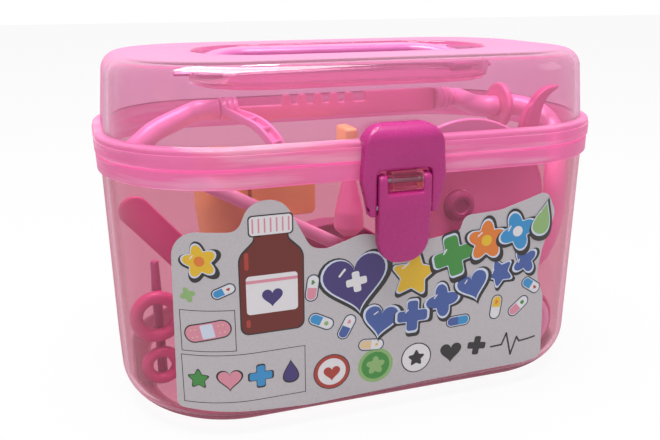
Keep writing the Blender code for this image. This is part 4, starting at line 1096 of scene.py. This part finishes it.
def makeBridge():
    h = headset
    blockLow, blockHigh = h["height"] - h["block"] / 2, h["height"] + h["block"] / 2
    high = blockLow + h["rail"]
    corners = [(h["left"], blockLow, 0.6 * mm), (h["left"], high, 0.6 * mm)]
    pitch = (h["toothEnd"] - h["toothStart"]) / h["teeth"]
    for k in range(h["teeth"]):
        start = h["toothStart"] + pitch * k
        for across, up, rounding in ((0.0, 0.0, 0.8), (0.14, 1.0, 0.9), (0.52, 1.0, 0.9), (0.60, 0.0, 0.8)):
            corners.append((start + pitch * across, high + h["toothHeight"] * up, rounding * mm))
    start = h["right"] - h["blockLength"]
    corners += [
        (start, high, 0.8 * mm), (start, blockHigh, 1.2 * mm), (h["right"], blockHigh, 1.0 * mm),
        (h["right"], blockLow, 1.0 * mm),
    ]
    half = h["thickness"] / 2
    outline = roundCorners(corners, 4)
    bm = frontPlate(outline[::-1], h["depth"] - half, h["depth"] + half, 0.7 * mm)
    finishPiece(bm, "headsetBridge", "coral")


def collarMesh(start, end):
    # a short sleeve with two shallow grooves
    h, width = headset, headset["collarWidth"]
    r, g = h["collar"], 0.5 * mm
    corners = [(0, 0, 0), (r, 0, 0.8 * mm)]
    for at in (0.30, 0.62):
        corners += [(r, width * at, 0.2 * mm), (r - g, width * at + 0.3 * mm, 0.2 * mm),
                    (r - g, width * at + 0.7 * mm, 0.2 * mm), (r, width * at + 1.0 * mm, 0.2 * mm)]
    corners += [(r, width, 0.8 * mm), (0, width, 0)]
    return spinMesh(roundCorners(corners, 4), start, end - start)


def makeHeadset():
    h, x = headset, Vector((1, 0, 0))
    leftFace = Vector((h["left"], h["depth"], h["height"])) - x * gap
    rightFace = Vector((h["right"], h["depth"], h["height"])) + x * gap
    wide = x * h["collarWidth"]
    for name, start in (("Left", leftFace - wide), ("Right", rightFace)):
        finishPiece(collarMesh(start, start + wide), "collar" + name, "lightPink")
    tip, flange, bend = h["tip"], h["flange"], h["bend"]
    end = leftFace - wide - x * gap
    route = [tip, *(spot(*share) for share in h["leftRoute"]), end - x * bend * 2, end]
    finishPiece(sweepMesh(tubePath(route), h["earTube"]), "earTubeLeft", "lightPink")
    out = (tip - route[1]).normalized()
    r = h["earTip"]
    turnPiece("earTipLeft", "mauve", tip + out * gap, out, 48, 6, [
        (0, 0, 0), (r * 0.55, 0, 0.4 * mm), (r, r * 0.35, 1.6 * mm), (r * 0.75, r * 0.9, 1.6 * mm),
        (r * 0.3, r * 1.1, 0.6 * mm), (0, r * 1.1, 0),
    ])
    start, end = rightFace + wide + x * gap, flange - x * gap
    route = [start, start + x * bend]
    for back, share in ((1.7, 0.62), (1.9, 0.20)):
        route.append(Vector((flange.x - bend * back, h["depth"] * share, flange.z)))
    route += [end - x * h["lastBend"], end]
    finishPiece(sweepMesh(tubePath(route), h["earTube"]), "earTubeRight", "lightPink")
    r = h["flangeRadius"]
    turnPiece("hoseFlange", "coral", flange, x, 64, 5, [
        (0, 0, 0), (r, 0, 1.2 * mm), (r, 3 * mm, 1.2 * mm), (8.6 * mm, 3 * mm, 0.4 * mm),
        (8.2 * mm, 2.6 * mm, 0.4 * mm), (6.0 * mm, 2.6 * mm, 0.4 * mm), (5.6 * mm, 3 * mm, 0.4 * mm),
        (0, 3 * mm, 0),
    ])


hose = lengths(
    radius=5.1, start=Vector((78.4, -2.4, 110.8)), chest=Vector((71.14, -37.32, 18.6)),
    chestRadius=16.5, chestThickness=10, spigot=4.2, spigotHeight=4.0,
) | {
    "route": (
        (0.915, -0.20, 0.8549), (0.935, -0.40, 0.7888), (0.880, -0.58, 0.6608), (0.865, -0.62, 0.5286),
        (0.800, -0.62, 0.3965),
    ),
}


def makeHose():
    h, chest = hose, hose["chest"]
    spigotTop = chest + Vector((0, 0, h["chestRadius"] + h["spigotHeight"]))
    end = spigotTop + Vector((0, 0, gap))
    route = [h["start"], h["start"] + Vector((h["radius"], 0, 0))] + [spot(*share) for share in h["route"]]
    route += [end + Vector((0, 0, h["radius"])), end]
    finishPiece(sweepMesh(tubePath(route, 10), h["radius"], 28), "hose", "lightPink")
    half, r = h["chestThickness"] / 2, h["chestRadius"]
    profile = roundCorners([
        (0, -half, 0), (r - 1.6 * mm, -half, 0.3 * mm), (r - 1.2 * mm, -half - 0.3 * mm, 0.3 * mm),
        (r, -half + 0.8 * mm, 1.0 * mm), (r, half * 0.1, 1.2 * mm), (r * 0.8, half * 0.6, 3 * mm),
        (r * 0.5, half, 1.5 * mm), (0, half, 0),
    ], 6)
    bm = spinMesh(profile, chest, (0, 1, 0), 72)
    addMesh(bm, roundBar(h["spigot"], chest + Vector((0, 0, r * 0.7)), spigotTop, 0.6 * mm))
    finishPiece(bm, "chestPiece", "deepPink")
    face = chest - Vector((0, half + gap, 0))
    turnPiece("chestDiaphragm", "lilac", face, (0, -1, 0), 64, 4, [
        (0, 0, 0), (14.1 * mm, 0, 0.3 * mm), (14.1 * mm, 1.0 * mm, 0.6 * mm), (11.5 * mm, 1.0 * mm, 0.3 * mm),
        (11.2 * mm, 0.7 * mm, 0.3 * mm), (0, 0.7 * mm, 0),
    ])


yoke = lengths(
    width=7.4, depth=3.6, rail=1.5, web=1.0, rung=0.8, rungInset=0.4,
    start=Vector((-46.2, 15.8, 112.0)), lead=3,
) | {
    "rungs": (0.50, 0.68, 0.86),
    "route": ((-0.435, 0.03, 0.882), (-0.385, -0.10, 0.862), (-0.345, -0.20, 0.822), (-0.315, -0.26, 0.766)),
}


def makeYokeArm():
    # an open channel with rungs across it
    y = yoke
    start = y["start"]
    route = [start, start - Vector((0, y["lead"], 0)), *(spot(*share) for share in y["route"])]
    path = smoothPath(route, 8)
    half, top, web, rail = y["width"] / 2, y["depth"] / 2, y["web"], y["rail"]
    section = roundCorners([
        (-half, -top, 0.5 * mm), (half, -top, 0.5 * mm), (half, top, 0.5 * mm), (half - rail, top, 0.5 * mm),
        (half - rail, web - top, 0.3 * mm), (rail - half, web - top, 0.3 * mm), (rail - half, top, 0.5 * mm),
        (-half, top, 0.5 * mm),
    ], 3)
    rows, frames = [], []
    for point, ahead in zip(path, directions(path)):
        side = ahead.cross(Vector((0.25, -0.45, 1))).normalized()
        out = side.cross(ahead)
        frames.append((point, side, out))
        rows.append([point + side * u + out * v for u, v in section])
    bm = skinMesh(rows)
    for share in y["rungs"]:
        point, side, out = frames[int(share * (len(path) - 1))]
        middle, reach = point + out * 0.6 * mm, side * (half - y["rungInset"])
        addMesh(bm, roundBar(y["rung"], middle - reach, middle + reach, 0.2 * mm, 16))
    finishPiece(bm, "yokeArm", "lightPink")


mirror = lengths(
    centre=Vector((41.1, -33.7, 74.65)), radius=38, depth=6.5, thickness=1.8, boss=6.7, hole=7.0,
    bossHeight=3.6, stemWidth=9, stemThickness=3,
)


def makeMirror():
    m, centre = mirror, mirror["centre"]
    edge = m["thickness"] / 2
    span = m["radius"] - edge - m["hole"]
    face = [(m["hole"] + span * k / 14, m["depth"] * (k / 14) ** 2 * 0.98) for k in range(15)]
    back = [(r, depth - m["thickness"]) for r, depth in face[::-1]]
    profile = face + arc((m["radius"] - edge, m["depth"] - edge), edge, 80, -80, 8) + back
    finishPiece(spinMesh(profile + [profile[0]], centre, (0, -1, 0), 96), "mirrorDish", "lightPink")
    low, high, r = -m["thickness"], m["bossHeight"], m["boss"]
    turnPiece("mirrorBoss", "mauve", centre, (0, -1, 0), 48, 5, [
        (0, low, 0), (r, low, 0.3 * mm), (r, high - 1.4 * mm, 1.0 * mm), (r * 0.72, high, 0.8 * mm),
        (r * 0.5, high, 0.3 * mm), (r * 0.45, high - 0.8 * mm, 0.3 * mm), (0, high - 0.8 * mm, 0),
    ])
    near = centre.y + m["thickness"] + gap
    foot = Vector((centre.x, inside["seat"] * mm + m["stemWidth"] / 2))
    outline = ribbon([foot, Vector((centre.x, centre.z))], [m["stemWidth"]] * 2)
    bm = frontPlate(outline[::-1], near, near + m["stemThickness"], 0.7 * mm)
    finishPiece(bm, "mirrorStem", "deepPink")


tweezers = {
    "near": -24.6 * mm, "far": -20.0 * mm,
    "stem": ((60.1, 4.2), (68.1, 41.8), (75.7, 77.3), (79.2, 101.3)), "stemWidths": (4.2, 4.2, 4.6, 6.8),
    "leaves": (
        ((78.4, 99.2), (78.6, 105.5), (80.4, 111.5), (84.0, 116.2)),
        ((80.8, 99.2), (81.8, 107.0), (84.2, 114.8), (88.0, 119.2), (93.0, 121.4)),
    ),
    "leafWidths": ((5.4, 5.0, 3.8, 1.8), (7.4, 6.6, 5.4, 3.8, 1.6)), "leafIn": (0.5, 0.0),
}


def makeTweezers():
    t = tweezers
    lines = [(t["stem"], t["stemWidths"], 0.0)] + list(zip(t["leaves"], t["leafWidths"], t["leafIn"]))
    bm = bmesh.new()
    for line, widths, within in lines:
        outline = ribbon([flat(*point) for point in line], [width * mm for width in widths])
        addMesh(bm, frontPlate(outline[::-1], t["near"] + within * mm, t["far"] - within * mm, 0.6 * mm))
    finishPiece(bm, "tweezers", "deepPink")


scissors = {
    "depth": -15.05, "gap": 0.4, "plate": 2.6, "pivot": (-50.1, 20.88), "tip": (-13.03, 20.88), "bend": 0.60,
    "arm": 5.6, "blade": 8.5, "point": 0.55, "rivet": 2.0, "head": 3.6, "headHeight": 1.0,
    "rings": (("Upper", (-86.7, 33.2), 8.5, 2.8, -1), ("Lower", (-86.0, 10.7), 6.2, 2.4, 1)),
}


def makeScissors():
    c = scissors
    pivot, tip, depth = flat(*c["pivot"]), flat(*c["tip"]), c["depth"] * mm
    for name, ring, radius, stock, side in c["rings"]:
        ring = flat(*ring)
        start = ring + (pivot - ring).normalized() * radius * mm
        widths = [c["arm"] * mm, c["arm"] * mm, c["blade"] * mm, c["blade"] * c["point"] * mm]
        outline = ribbon([start, ring.lerp(pivot, c["bend"]), pivot, tip], widths)
        low = depth + side * c["gap"] / 2 * mm + min(side, 0) * c["plate"] * mm
        bm = frontPlate(outline[::-1], low, low + c["plate"] * mm, 0.6 * mm)
        circle = arc((radius * mm, 0), stock * mm, 0, 360, 20)
        addMesh(bm, spinMesh(circle, (ring.x, depth, ring.y), (0, 1, 0), 56))
        body = "scissors_half" if name == "Upper" else "case"
        finishPiece(bm, "scissors" + name, "deepPink", body)
    outside, high = (c["gap"] / 2 + c["plate"]) * mm + gap, c["headHeight"] * mm
    head, shank = c["head"] * mm, c["rivet"] * mm
    turnPiece("scissorsRivet", "mauve", (pivot.x, depth, pivot.y), (0, 1, 0), 40, 4, [
        (0, -outside - high, 0), (head, -outside - high, 0.6 * mm), (head, -outside, 0.1 * mm),
        (shank, -outside, 0), (shank, outside, 0), (head, outside, 0.1 * mm),
        (head, outside + high, 0.6 * mm), (0, outside + high, 0),
    ])


tools = lengths(
    scope=Vector((-53.6, 7.0, 0)), scopeRadius=12, scopeTop=96.0, scopeWaist=74, headLeft=-41.3,
    headRight=7.7, headStep=-12.3, headTop=96.0, headTab=103.5, headLow=66.5, barLow=85.0, headFar=14.0,
    thermometer=1.9, thermometerTop=Vector((-70.14, -7.1, 90.3)),
    thermometerEnd=Vector((14.03, -7.1, 42.8)), cap=12, hammer=Vector((-0.8, -11.74, 59.0)),
    hammerRadius=6.8, hammerHeight=28, probe=Vector((-85.7, -9.33, 2.1)), probeRadius=2.1, probeTop=56,
    depressorNear=-25.78, depressorFar=-23.58, depressorWidth=11.8,
) | {"headNear": 0.0, "oval": 0.6}


def makeScope():
    t = tools
    r, seat, top, waist = t["scopeRadius"], inside["seat"] * mm, t["scopeTop"], t["scopeWaist"]
    profile = roundCorners([
        (0, seat, 0), (r * 0.82, seat, 1.0 * mm), (r * 0.94, seat + 12 * mm, 6 * mm),
        (r * 0.80, waist - 22 * mm, 20 * mm), (r, waist, 4 * mm), (r, top, 2.0 * mm),
        (r * 0.6, top, 0.4 * mm), (r * 0.55, top - 1.0 * mm, 0.4 * mm), (0, top - 1.0 * mm, 0),
    ], 8)
    bm = spinMesh(profile, t["scope"], (0, 0, 1), 64)
    finishPiece(bm, "scopeHandle", "orange", node="otoscope_handle")
    edge = 1.5 * mm
    outline = roundCorners([
        (t["headLeft"], t["headTop"], edge), (t["headRight"] - 6 * mm, t["headTop"], edge / 2),
        (t["headRight"] - 6 * mm, t["headTab"], edge), (t["headRight"], t["headTab"], edge),
        (t["headRight"], t["barLow"], edge), (t["headStep"], t["barLow"], edge / 2),
        (t["headStep"], t["headLow"], 3 * mm), (t["headLeft"], t["headLow"], 3 * mm),
    ], 6)
    bm = frontPlate(outline[::-1], t["headNear"], t["headFar"], 1.4 * mm)
    finishPiece(bm, "scopeHead", "orange", node="otoscope_head")


def makeSmallTools():
    t = tools
    top, end = t["thermometerTop"], t["thermometerEnd"]
    ahead = (end - top).normalized()
    capStart = end - ahead * t["cap"]
    across = ahead.cross(Vector((0, 1, 0)))
    r = t["thermometer"]
    rod = roundBar(r, top, capStart - ahead * gap, 0.6 * mm, 24)
    profile = roundCorners([
        (0, 0, 0), (r * 0.9, 0, 0.2 * mm), (r, 3 * mm, 1 * mm), (r * 0.6, t["cap"] - 2 * mm, 2 * mm),
        (r * 0.5, t["cap"], 0.7 * mm), (0, t["cap"], 0),
    ], 5)
    bulb = spinMesh(profile, capStart, ahead, 24)
    for bm, name, finish in ((rod, "thermometer", "lilac"), (bulb, "thermometerBulb", "mauve")):
        for vert in bm.verts:
            vert.co += across * (vert.co - top).dot(across) * t["oval"]
        finishPiece(bm, name, finish)
    neck, seat = t["hammer"], inside["seat"] * mm
    turnPiece("hammerHandle", "deepPink", (neck.x, neck.y, 0), (0, 0, 1), 28, 6, [
        (0, seat, 0), (3.4 * mm, seat, 1.0 * mm), (2.5 * mm, seat + 10 * mm, 8 * mm),
        (2.5 * mm, neck.z - gap, 0.3 * mm), (0, neck.z - gap, 0),
    ])
    r, high = t["hammerRadius"], t["hammerHeight"]
    turnPiece("hammerHead", "lightPink", neck, (0, 0, 1), 48, 8, [
        (0, 0, 0), (r * 0.5, 0, 0.5 * mm), (r, high * 0.12, 2.5 * mm), (r * 0.92, high * 0.40, 10 * mm),
        (r * 0.42, high * 0.92, 2 * mm), (r * 0.25, high, 0.8 * mm), (0, high, 0),
    ])
    foot, r, high = t["probe"], t["probeRadius"], t["probeTop"] - t["probe"].z
    turnPiece("examinationProbe", "mauve", foot, (0, 0, 1), 24, 5, [
        (0, 0, 0), (r, 0, 0.6 * mm), (r, t["probeTop"] * 0.7, 2 * mm), (r * 0.8, high, 0.8 * mm),
        (0, high, 0),
    ])
    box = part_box("tongue_depressor")
    half = t["depressorWidth"] / 2
    head = Vector((box[0][0] + half, box[1][2] - half))
    end = Vector((box[1][0] - half, box[0][2] + half))
    outline = ribbon([head, end], [t["depressorWidth"]] * 2)
    bm = frontPlate(outline[::-1], t["depressorNear"], t["depressorFar"], 0.8 * mm)
    finishPiece(bm, "tongueDepressor", "deepPink")


kidney = lengths(length=76, height=62, wall=1.5, centreX=6.01, near=32.0, far=46.0) | {
    "waist": 0.30, "rise": 0.78, "lobe": 0.20, "points": 72,
}


def kidneyOutline(inset, centreZ):
    k, points = kidney, []
    for i in range(k["points"]):
        angle = 2 * math.pi * i / k["points"]
        bend = k["waist"] * math.cos(angle) ** 2
        rise = math.sin(angle) * (k["rise"] + bend * k["lobe"]) - bend
        x = k["centreX"] + (k["length"] / 2 - inset) * math.cos(angle)
        points.append(Vector((x, centreZ + (k["height"] / 2 - inset) * rise)))
    return points


def makeKidneyDish():
    # a hollow dish, its rim rolled a little outwards, standing on its edge
    k = kidney
    lowest = min(v.y for v in kidneyOutline(0, 0))
    centreZ = inside["seat"] * mm - lowest
    wall, near, far = k["wall"], k["near"], k["far"]
    rows = []
    for inset, y in (
        (2.4 * mm, far), (1.0 * mm, far - 0.6 * mm), (0.7 * mm, far - 2.0 * mm), (0.5 * mm, near + 2.4 * mm),
        (0, near + 1.2 * mm), (0, near + 0.3 * mm), (0.4 * mm, near), (wall - 0.2 * mm, near),
        (wall + 0.3 * mm, near + 1.0 * mm), (wall + 0.5 * mm, far - 3.0 * mm), (wall + 1.2 * mm, far - wall),
    ):
        rows.append([Vector((u, y, v)) for u, v in kidneyOutline(inset, centreZ)])
    finishPiece(skinMesh(rows), "kidneyDish", "mauve")


makeBridge()
makeHeadset()
makeHose()
makeYokeArm()
makeMirror()
makeTweezers()
makeScissors()
makeScope()
makeSmallTools()
makeKidneyDish()
print("instruments ready")


view = {
    "place": Vector((-106.43, -305.20, 162.35)) * mm,
    "yaw": 0.319, "pitch": 0.301, "roll": -0.004, "lens": 40.19,
}


def makeCamera():
    yaw, pitch, roll = view["yaw"], view["pitch"], view["roll"]
    ahead = Vector((math.sin(yaw) * math.cos(pitch), math.cos(yaw) * math.cos(pitch), -math.sin(pitch)))
    right = Vector((math.cos(yaw), -math.sin(yaw), 0))
    up = right.cross(ahead)
    side = right * math.cos(roll) + up * math.sin(roll)
    rise = up * math.cos(roll) - right * math.sin(roll)
    camera = addObject("camera", bpy.data.cameras.new("camera"))
    camera.data.lens = view["lens"]
    camera.data.sensor_width = 36
    camera.data.clip_start = 0.01
    turn = Matrix((side, rise, -ahead)).transposed().to_4x4()
    camera.matrix_world = Matrix.Translation(view["place"]) @ turn
    bpy.context.scene.camera = camera


# what the camera sees straight, in a reflection or through glass
seenRays = ("Is Camera Ray", "Is Glossy Ray", "Is Transmission Ray")
lamps = {
    "softTop": {"place": (-0.10, -0.10, 1.15), "aim": (0, 0, 0.07), "size": (0.9, 0.6), "power": 19.0},
    "softFront": {"place": (-0.45, -0.95, 0.60), "aim": (0, 0, 0.06), "size": (0.7, 0.5), "power": 1.5},
    "softRight": {"place": (0.95, -0.45, 0.50), "aim": (0, 0, 0.06), "size": (0.5, 0.5), "power": 0.6},
    "ceilingNear": {"place": (-0.30, -0.30, 1.30), "aim": (0, 0, 0.1), "size": (0.10, 0.03), "power": 1.0},
    "ceilingFar": {"place": (0.22, 0.35, 1.30), "aim": (0, 0, 0.1), "size": (0.10, 0.03), "power": 1.0},
}


def makeLights():
    for name, lamp in lamps.items():
        light = bpy.data.lights.new(name, "AREA")
        light.shape = "RECTANGLE"
        light.size, light.size_y = lamp["size"]
        light.energy = lamp["power"]
        stand = Vector(lamp["place"])
        turn = (Vector(lamp["aim"]) - stand).to_track_quat("-Z", "Y").to_matrix().to_4x4()
        addObject(name, light).matrix_world = Matrix.Translation(stand) @ turn
    world = bpy.data.worlds.new("studio")
    bpy.context.scene.world = world
    world.use_nodes = True
    tree = world.node_tree
    background = tree.nodes["Background"]
    background.inputs["Color"].default_value = (1, 1, 1, 1)
    strength = addNode(tree, "MapRange", {"To Min": 0.35, "To Max": 1.0}, Value=highest(tree, *seenRays))
    tree.links.new(strength.outputs["Result"], background.inputs["Strength"])


def makeFloor():
    values = {"Base Color": linear("#c8c8c8"), "Roughness": 0.9}
    material, tree, shader = newMaterial("paleStudioFloor", values)
    glow = addNode(tree, "Emission", {"Color": (1, 1, 1, 1)}).outputs["Emission"]
    share = addNode(tree, "Math", {"operation": "MULTIPLY", 1: 0.93}, n0=highest(tree, *seenRays))
    mix = addNode(tree, "MixShader", Fac=share.outputs["Value"], n1=shader.outputs["BSDF"], n2=glow)
    tree.links.new(mix.outputs["Shader"], tree.nodes["Material Output"].inputs["Surface"])
    bm = bmesh.new()
    bmesh.ops.create_grid(bm, x_segments=1, y_segments=1, size=4.0)
    floor = addObject("floor", meshFrom(bm, "floor"))
    floor.data.materials.append(material)
    floor.location.z = -0.2 * mm


makeCamera()
makeLights()
makeFloor()
bpy.context.scene.view_settings.view_transform = "Standard"
print("camera, lamps and floor ready")
